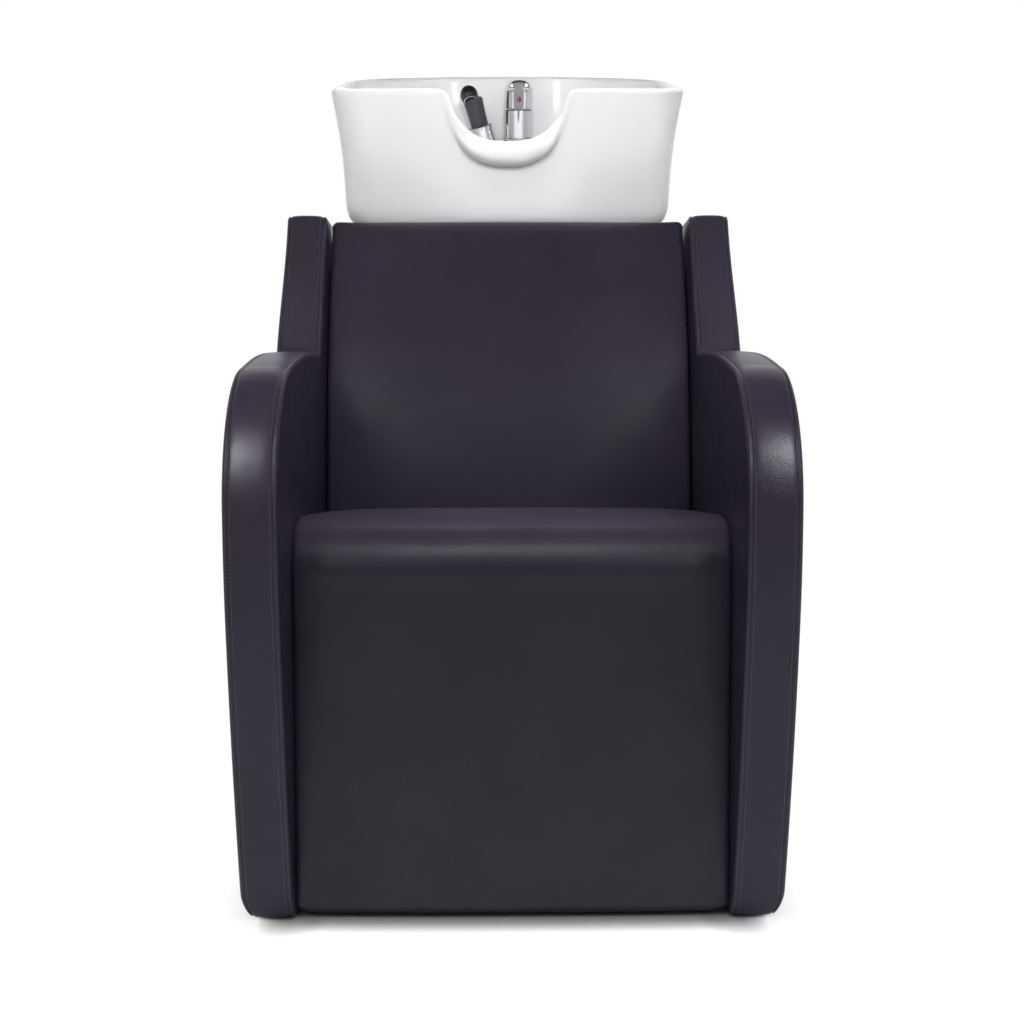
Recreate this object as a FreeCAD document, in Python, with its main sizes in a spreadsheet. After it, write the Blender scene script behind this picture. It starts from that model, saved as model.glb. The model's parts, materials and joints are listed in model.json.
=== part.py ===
# Salon backwash unit: a reclined wash chair with a tilting ceramic basin behind it.
# Front faces -Y, up is +Z, origin at the middle of the footprint on the floor.
import FreeCAD, Part
import math
import os
import Sketcher

Vec = FreeCAD.Vector
doc = FreeCAD.newDocument("backwash_unit")
sheet = doc.addObject("Spreadsheet::Sheet", "Sizes")

# Driving sizes, in millimetres and degrees
SIZES = {
    "unit_width": 660, "unit_depth": 1240, "glide_height": 4, "glide_radius": 13,
    "side_thick": 64, "cover_thick": 6, "core_thick": 28, "core_inset": 16, "cover_round": 4,
    "foot_setback": 27, "foot_radius": 2576, "front_height": 380,
    "brow_setback": 15, "brow_height": 530, "brow_radius": 757,
    "crest_setback": 195, "crest_height": 651, "crest_radius": 165,
    "root_setback": 548, "root_drop": 45, "wing_lean": 38, "wing_height": 786,
    "wing_corner": 16, "wing_fall": 30, "side_rear": 850, "rear_corner": 30,
    "seat_front": 92, "seat_nose": 75, "seat_height": 466, "seat_slope": 12.5, "seat_foam": 70,
    "apron_lean": 9,
    "seat_side_gap": 3, "panel_clear": 6, "front_foam": 30, "board_thick": 15, "seat_rear": 516,
    "seat_crown": 16, "back_low_lean": 15, "back_high_lean": 39, "bend_setback": 567,
    "bend_height": 567, "back_top": 774, "back_low": 345, "back_foam": 52, "back_crown": 10,
    "tube_size": 40, "tube_wall": 2, "bar_size": 30, "frame_height": 30, "front_tube_at": 220,
    "rear_tube_at": 760, "post_centre": 70, "post_at": 885, "post_top": 640,
    "column_half": 160, "column_wall": 12, "column_rear": 1085, "column_top": 690,
    "rear_panel_at": 815, "rear_panel_thick": 18,
    "hinge_at": 905, "hinge_height": 705, "pin_radius": 8, "ear_gap": 160, "ear_thick": 8,
    "plate_thick": 6, "knuckle_radius": 17, "bush_wall": 2, "running_gap": 0.05, "cradle_half": 118,
    "cradle_front": 868, "cradle_rear": 1066, "pad_height": 6,
    "basin_front": 760, "basin_rear": 1240, "rim_front_height": 966, "rim_rear_height": 976,
    "rim_half": 265.5, "belly_half": 249, "basin_floor": 742, "basin_wall": 14, "bowl_depth_floor": 764,
    "deck_height": 868, "deck_front": 1104, "deck_thick": 16,
    "notch_top_half": 89, "notch_low_half": 47, "notch_drop": 75, "lip_size": 40, "lip_reach": 24,
    "waste_at": 1000, "waste_hole": 24,
    "tap_right": 22, "tap_at": 1150, "tap_radius": 25, "tap_top": 924, "lever_top": 974,
    "spray_left": 37, "spray_at": 1150, "spray_lean": 15, "spray_radius": 17,
}


class Size:
    # A number together with the formula that ties it to the sheet
    def __init__(self, value, text):
        self.value, self.text = float(value), text

    def join(self, other, sign, result, flip=False):
        first, second = (other, self) if flip else (self, other)
        return Size(result, "(%s %s %s)" % (first.text, sign, second.text))

    def __add__(self, other):
        other = as_size(other)
        return self.join(other, "+", self.value + other.value)

    def __radd__(self, other):
        return as_size(other) + self

    def __sub__(self, other):
        other = as_size(other)
        return self.join(other, "-", self.value - other.value)

    def __rsub__(self, other):
        return as_size(other) - self

    def __mul__(self, other):
        other = as_size(other)
        return self.join(other, "*", self.value * other.value)

    def __rmul__(self, other):
        return as_size(other) * self

    def __truediv__(self, other):
        other = as_size(other)
        return self.join(other, "/", self.value / other.value)

    def __neg__(self):
        return Size(-self.value, "(0 - %s)" % self.text)

    def __float__(self):
        return self.value


def as_size(number):
    return number if isinstance(number, Size) else Size(number, repr(number))


def sine(angle):
    return Size(math.sin(math.radians(angle.value)), "sin(%s)" % angle.text)


def cosine(angle):
    return Size(math.cos(math.radians(angle.value)), "cos(%s)" % angle.text)


def tangent(angle):
    return Size(math.tan(math.radians(angle.value)), "tan(%s)" % angle.text)


class Named:
    pass


s = Named()
for row, (name, value) in enumerate(SIZES.items(), start=1):
    sheet.set("A%d" % row, name)
    sheet.set("B%d" % row, str(value))
    sheet.setAlias("B%d" % row, name)
    setattr(s, name, Size(value, "Sizes." + name))
doc.recompute()
for name in SIZES:
    getattr(s, name).value = float(sheet.get(name))

HALF_DEPTH = s.unit_depth / 2
HALF_WIDTH = s.unit_width / 2
INNER_HALF = HALF_WIDTH - s.side_thick
pieces = {}


def deep(distance):
    # Distance behind the front of the arms, as a Y position
    return as_size(distance) - HALF_DEPTH


def bind(obj, prop, size):
    size = as_size(size)
    if "Sizes." in size.text:
        obj.setExpression(prop, size.text)


def keep(node, obj):
    obj.Label = node
    pieces[node] = obj
    return obj


def place(obj, x, y, z, rotation=None):
    spots = [as_size(value) for value in (x, y, z)]
    base = Vec(*[spot.value for spot in spots])
    obj.Placement = FreeCAD.Placement(base, rotation or FreeCAD.Rotation())
    for axis, spot in zip("xyz", spots):
        bind(obj, "Placement.Base." + axis, spot)
    return obj


def box(name, x, y, z, rotation=None):
    # A block between pairs of x, y and z positions
    obj = doc.addObject("Part::Box", name)
    for prop, (low, high) in zip(("Length", "Width", "Height"), (x, y, z)):
        span = as_size(high) - as_size(low)
        setattr(obj, prop, span.value)
        bind(obj, prop, span)
    return place(obj, x[0], y[0], z[0], rotation)


ALONG = {
    "x": FreeCAD.Rotation(Vec(0, 1, 0), 90),
    "y": FreeCAD.Rotation(Vec(1, 0, 0), -90),
    "z": FreeCAD.Rotation(),
}


def rod(name, radius, length, spot, axis="z"):
    # A round bar that starts at spot and runs along an axis
    obj = doc.addObject("Part::Cylinder", name)
    for prop, size in (("Radius", radius), ("Height", length)):
        setattr(obj, prop, as_size(size).value)
        bind(obj, prop, size)
    return place(obj, spot[0], spot[1], spot[2], ALONG[axis])


def cut(name, base, tools):
    tool = tools[0] if len(tools) == 1 else fuse(name + "_tool", tools)
    obj = doc.addObject("Part::Cut", name)
    obj.Base, obj.Tool = base, tool
    return obj


def fuse(name, shapes):
    obj = doc.addObject("Part::MultiFuse", name)
    obj.Shapes = shapes
    obj.Refine = True
    return obj


def group(name, shapes):
    obj = doc.addObject("Part::Compound", name)
    obj.Links = shapes
    return obj


def body(node):
    obj = doc.addObject("PartDesign::Body", node)
    return keep(node, obj)


def origin_plane(owner, role):
    return [item for item in owner.Origin.OriginFeatures if item.Role == role][0]


def sketch(owner, role, name, corners, arcs=None, offset=0):
    # A closed outline; arcs maps a corner number to the radius of the clockwise arc after it
    arcs = arcs or {}
    drawing = owner.newObject("Sketcher::SketchObject", name)
    drawing.AttachmentSupport = (origin_plane(owner, role), [""])
    drawing.MapMode = "FlatFace"
    offset = as_size(offset)
    drawing.AttachmentOffset = FreeCAD.Placement(Vec(0, 0, offset.value), FreeCAD.Rotation())
    bind(drawing, "AttachmentOffset.Base.z", offset)
    corners = [(as_size(h), as_size(v)) for h, v in corners]
    count = len(corners)
    ends = []
    for i, (h, v) in enumerate(corners):
        start = Vec(h.value, v.value, 0)
        finish = Vec(corners[(i + 1) % count][0].value, corners[(i + 1) % count][1].value, 0)
        if i in arcs:
            radius = as_size(arcs[i]).value
            chord = finish - start
            reach = math.sqrt(max(radius ** 2 - (chord.Length / 2) ** 2, 0))
            centre = (start + finish) / 2 + Vec(chord.y, -chord.x, 0) / chord.Length * reach
            first = math.atan2(finish.y - centre.y, finish.x - centre.x)
            last = math.atan2(start.y - centre.y, start.x - centre.x)
            circle = Part.Circle(centre, Vec(0, 0, 1), radius)
            drawing.addGeometry(Part.ArcOfCircle(circle, first, last), False)
            ends.append((2, 1))
        else:
            drawing.addGeometry(Part.LineSegment(start, finish), False)
            ends.append((1, 2))
    for i in range(count):
        after = (i + 1) % count
        drawing.addConstraint(Sketcher.Constraint("Coincident", i, ends[i][1], after, ends[after][0]))
    for i, (h, v) in enumerate(corners):
        for kind, size in (("DistanceX", h), ("DistanceY", v)):
            number = drawing.addConstraint(
                Sketcher.Constraint(kind, -1, 1, i, ends[i][0], size.value))
            bind(drawing, "Constraints[%d]" % number, size)
        if i in arcs:
            number = drawing.addConstraint(Sketcher.Constraint("Radius", i, as_size(arcs[i]).value))
            bind(drawing, "Constraints[%d]" % number, arcs[i])
    return drawing


def pad(owner, drawing, length, name="Pad"):
    obj = owner.newObject("PartDesign::Pad", name)
    obj.Profile = drawing
    obj.Length = as_size(length).value
    bind(obj, "Length", length)
    owner.Tip = obj
    return obj


def pocket(owner, drawing, length, name="Pocket", reverse=False):
    obj = owner.newObject("PartDesign::Pocket", name)
    obj.Profile = drawing
    obj.Reversed = reverse
    obj.Length = as_size(length).value
    bind(obj, "Length", length)
    owner.Tip = obj
    return obj


def turned(node, profile, x, y, z, rotation=None):
    # A piece turned about its own upright axis from a list of (radius, height) corners
    owner = body(node)
    drawing = sketch(owner, "XZ_Plane", node + "_profile", profile)
    obj = owner.newObject("PartDesign::Revolution", node + "_turned")
    obj.Profile = drawing
    obj.ReferenceAxis = (drawing, ["V_Axis"])
    obj.Angle = 360
    owner.Tip = obj
    place(owner, x, y, z, rotation)
    return owner


def rounded(owner, radius, wanted, name="Round"):
    # Rounds the edges of the tip that the test picks out
    doc.recompute()
    tip = owner.Tip
    chosen = ["Edge%d" % (i + 1) for i, edge in enumerate(tip.Shape.Edges) if wanted(edge)]
    obj = owner.newObject("PartDesign::Fillet", name)
    obj.Base = (tip, chosen)
    obj.Radius = as_size(radius).value
    bind(obj, "Radius", radius)
    owner.Tip = obj
    return obj


# The outline shared by the core, band and covers of each side, drawn inset from the outer skin
def side_outline(inset):
    inset = as_size(inset)
    root_height = s.crest_height - s.root_drop
    rise = s.wing_height - root_height
    lean = tangent(s.wing_lean)
    top_front = s.root_setback + rise * lean + inset * 0.488
    round_run = s.wing_corner * tangent((90 - s.wing_lean) / 2)
    top = s.wing_height - inset
    rear = s.side_rear - inset
    corners = [
        (deep(s.foot_setback + inset), s.glide_height),
        (deep(inset), s.front_height),
        (deep(s.brow_setback + inset), s.brow_height - inset * 0.2),
        (deep(s.crest_setback + inset * 0.12), s.crest_height - inset),
        (deep(s.root_setback + inset * 0.438), root_height - inset * 1.064),
        (deep(top_front - round_run * sine(s.wing_lean)), top - round_run * cosine(s.wing_lean)),
        (deep(top_front + round_run), top),
        (deep(rear - s.rear_corner), top - s.wing_fall),
        (deep(rear), top - s.wing_fall - s.rear_corner),
        (deep(rear), s.glide_height),
    ]
    arcs = {
        0: s.foot_radius - inset, 1: s.brow_radius - inset, 2: s.crest_radius - inset,
        5: s.wing_corner, 7: s.rear_corner,
    }
    return corners, arcs


def window(owner, low, high, offset, depth, name):
    # A hidden opening in the inner padding where the frame reaches the plywood core
    corners = [(deep(low[0]), low[1]), (deep(low[0]), high[1]),
               (deep(high[0]), high[1]), (deep(high[0]), low[1])]
    drawing = sketch(owner, "YZ_Plane", name + "_outline", corners, offset=offset)
    return pocket(owner, drawing, depth, name)


CORE_INNER = INNER_HALF + (s.side_thick - s.core_thick) / 2
BAND_INNER = INNER_HALF + s.cover_thick
LOW_WINDOW = ((140, s.glide_height + 14), (828, s.seat_height - 68))
HIGH_WINDOW = ((s.bend_setback + 168, s.back_top - 124), (s.bend_setback + 225, s.back_top - 68))


def side_piece(node, inset, inner, thick, sign):
    # Extrudes a side outline between two distances from the middle of the unit
    owner = body(node)
    start = inner if sign > 0 else -(inner + thick)
    corners, arcs = side_outline(inset)
    drawing = sketch(owner, "YZ_Plane", node + "_outline", corners, arcs, offset=start)
    pad(owner, drawing, thick, node + "_pad")
    return owner


def outer_loop(sign, position):
    # Picks the edges that lie in one upright plane across X, above the floor edge
    def wanted(edge):
        flat = edge.BoundBox.XLength < 0.01 and abs(edge.BoundBox.XMin - sign * position) < 0.01
        return flat and edge.BoundBox.ZMax > s.glide_height.value + 1
    return wanted


for hand, sign in (("left", -1), ("right", 1)):
    side_piece(hand + "_side_core", s.core_inset, CORE_INNER, s.core_thick, sign)

    outer = side_piece(hand + "_side_outer_cover", 0, HALF_WIDTH - s.cover_thick, s.cover_thick, sign)
    rounded(outer, s.cover_round, outer_loop(sign, HALF_WIDTH.value), hand + "_outer_round")

    inner = side_piece(hand + "_side_inner_cover", 0, INNER_HALF, s.cover_thick, sign)
    rounded(inner, s.cover_round, outer_loop(sign, INNER_HALF.value), hand + "_inner_round")

    band = side_piece(hand + "_side_band", 0, BAND_INNER, s.side_thick - 2 * s.cover_thick, sign)
    corners, arcs = side_outline(s.core_inset)
    slot_start = CORE_INNER + s.core_thick if sign > 0 else -CORE_INNER
    slot = sketch(band, "YZ_Plane", hand + "_core_slot", corners, arcs, offset=slot_start)
    pocket(band, slot, s.core_thick, hand + "_slot")
    for owner, near, deepness in ((inner, INNER_HALF, s.cover_thick),
                                  (band, BAND_INNER, CORE_INNER - BAND_INNER)):
        face = near + deepness if sign > 0 else -near
        for tag, (low, high) in (("_low", LOW_WINDOW), ("_high", HIGH_WINDOW)):
            window(owner, low, high, face, deepness, owner.Name + tag)

glides = []
for sign in (-1, 1):
    for number, setback in enumerate((75, 430, 800)):
        spot = (sign * (CORE_INNER + s.core_thick / 2), deep(setback), 0)
        glides.append(rod("side_glide_%d_%d" % (sign + 1, number), s.glide_radius, s.glide_height, spot))

# The welded base: two cross tubes between the cores and two long tubes back to the column
FRAME_TOP = s.frame_height + s.tube_size
HALF_TUBE = s.tube_size / 2
outside, hollow = [], []
for tag, setback in (("front", s.front_tube_at), ("rear", s.rear_tube_at)):
    y = (deep(setback), deep(setback + s.tube_size))
    outside.append(box(tag + "_tube", (-CORE_INNER, CORE_INNER), y, (s.frame_height, FRAME_TOP)))
    y = (y[0] + s.tube_wall, y[1] - s.tube_wall)
    z = (s.frame_height + s.tube_wall, FRAME_TOP - s.tube_wall)
    hollow.append(box(tag + "_tube_bore", (-CORE_INNER - 1, CORE_INNER + 1), y, z))
for tag, sign in (("left", -1), ("right", 1)):
    x = (sign * s.post_centre - HALF_TUBE, sign * s.post_centre + HALF_TUBE)
    y = (deep(s.front_tube_at + s.tube_size), deep(s.column_rear - 60))
    outside.append(box(tag + "_long_tube", x, y, (s.frame_height, FRAME_TOP)))
    x = (x[0] + s.tube_wall, x[1] - s.tube_wall)
    z = (s.frame_height + s.tube_wall, FRAME_TOP - s.tube_wall)
    hollow.append(box(tag + "_long_bore", x, (y[0] - 1, y[1] + 1), z))
keep("base_frame", cut("base_frame_cut", fuse("base_frame_tubes", outside), hollow))

# The seat: sloped plywood on side rails, a front board and one waterfall cushion over both
SLOPE = tangent(s.seat_slope)
SEAT_HALF = INNER_HALF - s.seat_side_gap
BOARD_FRONT = s.seat_front + s.front_foam
BEND_AT = s.seat_front + s.seat_nose + 40


def seat_top(distance):
    return s.seat_height - 4 - (as_size(distance) - BEND_AT) * SLOPE


def board_top(distance):
    return seat_top(distance) - s.seat_foam


def board_drop():
    return s.board_thick / cosine(s.seat_slope)


seat_board = body("seat_board")
REAR_BOARD = s.seat_rear + 8
corners = [
    (deep(BOARD_FRONT), board_top(BOARD_FRONT)),
    (deep(REAR_BOARD), board_top(REAR_BOARD)),
    (deep(REAR_BOARD), board_top(REAR_BOARD) - board_drop()),
    (deep(BOARD_FRONT), board_top(BOARD_FRONT) - board_drop()),
]
drawing = sketch(seat_board, "YZ_Plane", "seat_board_side", corners, offset=-SEAT_HALF)
pad(seat_board, drawing, 2 * SEAT_HALF, "seat_board_pad")

# The front board leans out towards the floor, behind the apron of the cushion
APRON = tangent(s.apron_lean)
FRONT_TOP = board_top(BOARD_FRONT + s.board_thick) - board_drop()


def apron_front(height, offset=0):
    # How far back the leaning apron is at a height, with an offset behind it
    return s.seat_front + offset - (s.seat_height - s.seat_nose - height) * APRON


front_board = body("front_board")
low = s.panel_clear + 8
corners = [(deep(apron_front(low, s.front_foam)), low),
           (deep(apron_front(FRONT_TOP, s.front_foam)), FRONT_TOP),
           (deep(apron_front(FRONT_TOP, s.front_foam + s.board_thick)), FRONT_TOP),
           (deep(apron_front(low, s.front_foam + s.board_thick)), low)]
drawing = sketch(front_board, "YZ_Plane", "front_board_side", corners, offset=-SEAT_HALF + 6)
pad(front_board, drawing, 2 * SEAT_HALF - 12, "front_board_pad")

rails = []
for hand, sign in (("left", -1), ("right", 1)):
    rail = doc.addObject("PartDesign::Body", hand + "_seat_rail_body")
    start, end = BOARD_FRONT + s.board_thick + 6, REAR_BOARD - 10
    corners = [
        (deep(start), board_top(start) - board_drop()),
        (deep(end), board_top(end) - board_drop()),
        (deep(end), board_top(end) - board_drop() - s.bar_size),
        (deep(start), board_top(start) - board_drop() - s.bar_size),
    ]
    near = CORE_INNER - 40 if sign > 0 else -CORE_INNER
    drawing = sketch(rail, "YZ_Plane", hand + "_rail_side", corners, offset=near)
    pad(rail, drawing, 40, hand + "_rail_pad")
    keep(hand + "_seat_rail", rail)

# Gussets tie the front board down to the front cross tube
ties = []
low, high = s.frame_height + 4, FRAME_TOP - 4
behind = s.front_foam + s.board_thick
for number, x in enumerate((-190, 0, 190)):
    tie = doc.addObject("PartDesign::Body", "front_tie_%d" % number)
    corners = [(deep(apron_front(low, behind)), low), (deep(apron_front(high, behind)), high),
               (deep(s.front_tube_at), high), (deep(s.front_tube_at), low)]
    drawing = sketch(tie, "YZ_Plane", "front_tie_side_%d" % number, corners, offset=x - 20)
    pad(tie, drawing, 40, "front_tie_pad_%d" % number)
    ties.append(tie)
keep("front_ties", group("front_ties_group", ties))


def wire_of(points, arc_mids):
    # A closed outline through points; arc_mids maps a point number to a point on the arc after it
    edges = []
    for i, point in enumerate(points):
        after = points[(i + 1) % len(points)]
        if i in arc_mids:
            edges.append(Part.Arc(point, arc_mids[i], after).toShape())
        else:
            edges.append(Part.LineSegment(point, after).toShape())
    return Part.Wire(edges)


def seat_section(x, draw_in):
    # One upright slice of the seat cushion, drawn in by the given amount at the skin
    f = float
    front = f(s.seat_front) + draw_in
    nose = f(s.seat_nose)
    top = f(s.seat_height) - draw_in * 0.3
    depth_half = f(HALF_DEPTH)
    bend = f(BEND_AT)
    slope = f(SLOPE)
    rear = f(s.seat_rear)
    lean = math.tan(math.radians(f(s.back_low_lean)))
    rear_top = top - 4 - (rear - bend) * slope
    rear_low = f(board_top(rear))
    back = rear - (rear_top - rear_low) * lean
    rear_low = f(board_top(back))
    centre_y, centre_z = front + nose, top - nose
    tilt = math.radians(f(s.apron_lean))
    start_y, start_z = centre_y - nose * math.cos(tilt), centre_z + nose * math.sin(tilt)
    middle = (math.pi / 2 + tilt) / 2
    mid_y, mid_z = centre_y - nose * math.sin(middle), centre_z + nose * math.cos(middle)
    foot = f(s.panel_clear)
    foot_y = start_y - (start_z - foot) * math.tan(tilt)

    def spot(distance, height):
        return Vec(x, distance - depth_half, height)

    points = [
        spot(foot_y, foot),
        spot(start_y, start_z),
        spot(centre_y, top),
        spot(bend, top - 4),
        spot(rear, rear_top),
        spot(back, rear_low),
        spot(f(BOARD_FRONT), f(board_top(BOARD_FRONT))),
        spot(min(f(apron_front(FRONT_TOP, s.front_foam)), f(BOARD_FRONT)), f(FRONT_TOP)),
        spot(f(apron_front(s.panel_clear, s.front_foam)), foot),
    ]
    mids = {1: spot(mid_y, mid_z),
            2: spot((centre_y + bend) / 2, top - 1.2)}
    return wire_of(points, mids)


def crown_profile(half, crown):
    # Slices across the width: full in the middle, rolled in towards both ends
    turns = [math.radians(step * 22.5) for step in range(-4, 5)]
    return [(half * math.sin(turn), crown * (1 - math.cos(turn))) for turn in turns]


def crowned(node, section, half, crown):
    slices = [section(x, value) for x, value in crown_profile(float(half), float(crown))]
    obj = doc.addObject("Part::Feature", node)
    obj.Shape = Part.makeLoft(slices, True, False)
    return keep(node, obj)


crowned("seat_cushion", seat_section, SEAT_HALF, s.seat_crown)

# The back: a bent plywood board and a pad with the same bend, upright below and reclined above
LOW = (math.sin(math.radians(s.back_low_lean.value)), math.cos(math.radians(s.back_low_lean.value)))
HIGH = (math.sin(math.radians(s.back_high_lean.value)), math.cos(math.radians(s.back_high_lean.value)))
HALF_BEND = math.radians((s.back_high_lean.value - s.back_low_lean.value) / 2)
BEND_RUN = 64
MITRE = math.tan(HALF_BEND)


def back_line(offset):
    # Points up a line parallel to the front of the back pad, offset towards the rear
    bend_y = s.bend_setback.value - s.unit_depth.value / 2
    bend_z = s.bend_height.value
    shift = offset * MITRE
    low_end = (bend_z - s.back_low.value) / LOW[1]
    high_end = (s.back_top.value - bend_z) / HIGH[1]
    centre = (bend_y + offset * LOW[1] - shift * LOW[0], bend_z - offset * LOW[0] - shift * LOW[1])
    low = (bend_y + offset * LOW[1] - low_end * LOW[0], bend_z - offset * LOW[0] - low_end * LOW[1])
    high = (bend_y + offset * HIGH[1] + high_end * HIGH[0],
            bend_z - offset * HIGH[0] + high_end * HIGH[1])
    before = (centre[0] - BEND_RUN * LOW[0], centre[1] - BEND_RUN * LOW[1])
    after = (centre[0] + BEND_RUN * HIGH[0], centre[1] + BEND_RUN * HIGH[1])
    chord_mid = ((before[0] + after[0]) / 2, (before[1] + after[1]) / 2)
    pull = 0.5
    middle = (chord_mid[0] + (centre[0] - chord_mid[0]) * pull,
              chord_mid[1] + (centre[1] - chord_mid[1]) * pull)
    return low, before, middle, after, high


def back_section(front_offset, rear_offset):
    def section(x, draw_in):
        low, before, middle, after, high = back_line(front_offset + draw_in)
        rear_low, rear_before, rear_middle, rear_after, rear_high = back_line(rear_offset)
        points = [Vec(x, *spot) for spot in
                  (low, before, after, high, rear_high, rear_after, rear_before, rear_low)]
        return wire_of(points, {1: Vec(x, *middle), 5: Vec(x, *rear_middle)})
    return section


crowned("back_pad", back_section(0, s.back_foam.value), SEAT_HALF, s.back_crown)
board = doc.addObject("Part::Feature", "back_board")
board_slice = back_section(s.back_foam.value, s.back_foam.value + s.board_thick.value)
board.Shape = Part.Face(board_slice(-SEAT_HALF.value, 0)).extrude(Vec(2 * SEAT_HALF.value, 0, 0))
keep("back_board", board)


def cross_bar(node, share, upper):
    # A square steel bar lying flat on the rear of the back board
    offset = s.back_foam.value + s.board_thick.value
    low, before, middle, after, high = back_line(offset)
    start, end = (after, high) if upper else (low, before)
    spot = (start[0] + (end[0] - start[0]) * share, start[1] + (end[1] - start[1]) * share)
    lean = s.back_high_lean if upper else s.back_low_lean
    bar = doc.addObject("Part::Box", node)
    size = s.bar_size.value
    bar.Length, bar.Width, bar.Height = 2 * CORE_INNER.value, size, size
    bind(bar, "Length", 2 * CORE_INNER)
    bind(bar, "Width", s.bar_size)
    bind(bar, "Height", s.bar_size)
    bar.Placement = FreeCAD.Placement(
        Vec(-CORE_INNER.value, spot[0], spot[1]), FreeCAD.Rotation(Vec(1, 0, 0), -lean.value))
    keep(node, bar)


cross_bar("upper_cross_bar", 0.62, True)
cross_bar("lower_cross_bar", 0.02, False)

# The rear: an upholstered closing panel and the column that hides the pipes and carries the basin
PANEL_REAR = s.rear_panel_at + s.rear_panel_thick
passes = []
for sign in (-1, 1):
    x = (sign * s.post_centre - HALF_TUBE, sign * s.post_centre + HALF_TUBE)
    passes.append(box("pass_%d" % (sign + 1), x, (deep(s.rear_panel_at - 5), deep(PANEL_REAR + 40)),
                      (0, FRAME_TOP)))
panel = box("rear_panel_block", (-SEAT_HALF, SEAT_HALF), (deep(s.rear_panel_at), deep(PANEL_REAR)),
            (s.panel_clear, s.column_top))
keep("rear_panel", cut("rear_panel_cut", panel, passes))
cleats = []
for sign in (-1, 1):
    x = (CORE_INNER - 50, CORE_INNER) if sign > 0 else (-CORE_INNER, -CORE_INNER + 50)
    cleats.append(box("cleat_%d" % (sign + 1), x, (deep(s.rear_panel_at - 25), deep(s.rear_panel_at)),
                      (120, 360)))

WALL = s.column_wall
shell = box("shell_block", (-s.column_half, s.column_half), (deep(PANEL_REAR), deep(s.column_rear)),
            (s.glide_height, s.column_top))
room = box("shell_room", (-s.column_half + WALL, s.column_half - WALL),
           (deep(PANEL_REAR + WALL), deep(s.column_rear + 1)), (0, s.column_top + 1))
keep("column_shell", cut("column_shell_cut", shell, [room] + passes))
ROOM_HALF = s.column_half - WALL
PANEL_FACE = s.column_rear - 2
keep("access_panel", box(
    "access_panel_box", (-ROOM_HALF + 1, ROOM_HALF - 1),
    (deep(PANEL_FACE - WALL), deep(PANEL_FACE)), (s.glide_height + 12, s.column_top - 6)))
battens = []
for sign in (-1, 1):
    x = (ROOM_HALF - 20, ROOM_HALF) if sign > 0 else (-ROOM_HALF, -ROOM_HALF + 20)
    battens.append(box("batten_%d" % (sign + 1), x,
                       (deep(PANEL_FACE - WALL - 20), deep(PANEL_FACE - WALL)),
                       (s.glide_height + 40, s.column_top - 40)))
keep("panel_battens", group("panel_battens_group", battens + cleats))
screws = []
for sign in (-1, 1):
    for height in (90, 600):
        spot = (sign * (ROOM_HALF - 10), deep(PANEL_FACE), height)
        screws.append(rod("panel_screw_%d_%d" % (sign + 1, height), 6, 2.5, spot, "y"))
keep("panel_screws", group("panel_screws_group", screws))
for sign in (-1, 1):
    for number, setback in enumerate((PANEL_REAR + 60, s.column_rear - 40)):
        spot = (sign * (s.column_half - WALL / 2), deep(setback), 0)
        glides.append(rod("column_glide_%d_%d" % (sign + 1, number), 9, s.glide_height, spot))
keep("floor_glides", group("floor_glides_group", glides))

# Two posts welded to a top plate stand on the long tubes inside the column
posts, bores = [], []
for tag, sign in (("left", -1), ("right", 1)):
    x = (sign * s.post_centre - HALF_TUBE, sign * s.post_centre + HALF_TUBE)
    y = (deep(s.post_at), deep(s.post_at + s.tube_size))
    posts.append(box(tag + "_post", x, y, (FRAME_TOP, s.post_top)))
    bores.append(box(tag + "_post_bore", (x[0] + 2, x[1] - 2), (y[0] + 2, y[1] - 2),
                     (FRAME_TOP - 1, s.post_top)))
PLATE_TOP = s.post_top + s.plate_thick
top_plate = box("post_plate", (-110, 110), (deep(862), deep(952)), (s.post_top, PLATE_TOP))
keep("column_posts", cut("column_posts_cut", fuse("column_posts_fuse", posts + [top_plate]), bores))

# The tilt bracket: a base plate and two ears with the pivot hole
EAR_HALF = s.ear_gap / 2
BRACKET_TOP = PLATE_TOP + s.ear_thick
bracket = body("tilt_bracket")
drawing = sketch(bracket, "XY_Plane", "bracket_foot", [
    (-EAR_HALF - s.ear_thick, deep(866)), (-EAR_HALF - s.ear_thick, deep(948)),
    (EAR_HALF + s.ear_thick, deep(948)), (EAR_HALF + s.ear_thick, deep(866))], offset=PLATE_TOP)
pad(bracket, drawing, s.ear_thick, "bracket_foot_pad")
EAR_ROUND = 22
for tag, near in (("left", -EAR_HALF - s.ear_thick), ("right", EAR_HALF)):
    drawing = sketch(bracket, "YZ_Plane", tag + "_ear", [
        (deep(872), BRACKET_TOP - 1), (deep(s.hinge_at - EAR_ROUND), s.hinge_height),
        (deep(s.hinge_at), s.hinge_height + EAR_ROUND), (deep(s.hinge_at + EAR_ROUND), s.hinge_height),
        (deep(940), BRACKET_TOP - 1)], {1: EAR_ROUND, 2: EAR_ROUND}, offset=near)
    pad(bracket, drawing, s.ear_thick, tag + "_ear_pad")
hole = bracket.newObject("Sketcher::SketchObject", "pin_hole")
hole.AttachmentSupport = (origin_plane(bracket, "YZ_Plane"), [""])
hole.MapMode = "FlatFace"
hole.AttachmentOffset = FreeCAD.Placement(Vec(0, 0, 120), FreeCAD.Rotation())
pin_spot = Vec(deep(s.hinge_at).value, s.hinge_height.value, 0)
hole.addGeometry(Part.Circle(pin_spot, Vec(0, 0, 1), s.pin_radius.value), False)
for kind, size in (("DistanceX", deep(s.hinge_at)), ("DistanceY", s.hinge_height)):
    number = hole.addConstraint(Sketcher.Constraint(kind, -1, 1, 0, 3, size.value))
    bind(hole, "Constraints[%d]" % number, size)
number = hole.addConstraint(Sketcher.Constraint("Radius", 0, s.pin_radius.value))
bind(hole, "Constraints[%d]" % number, s.pin_radius)
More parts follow.
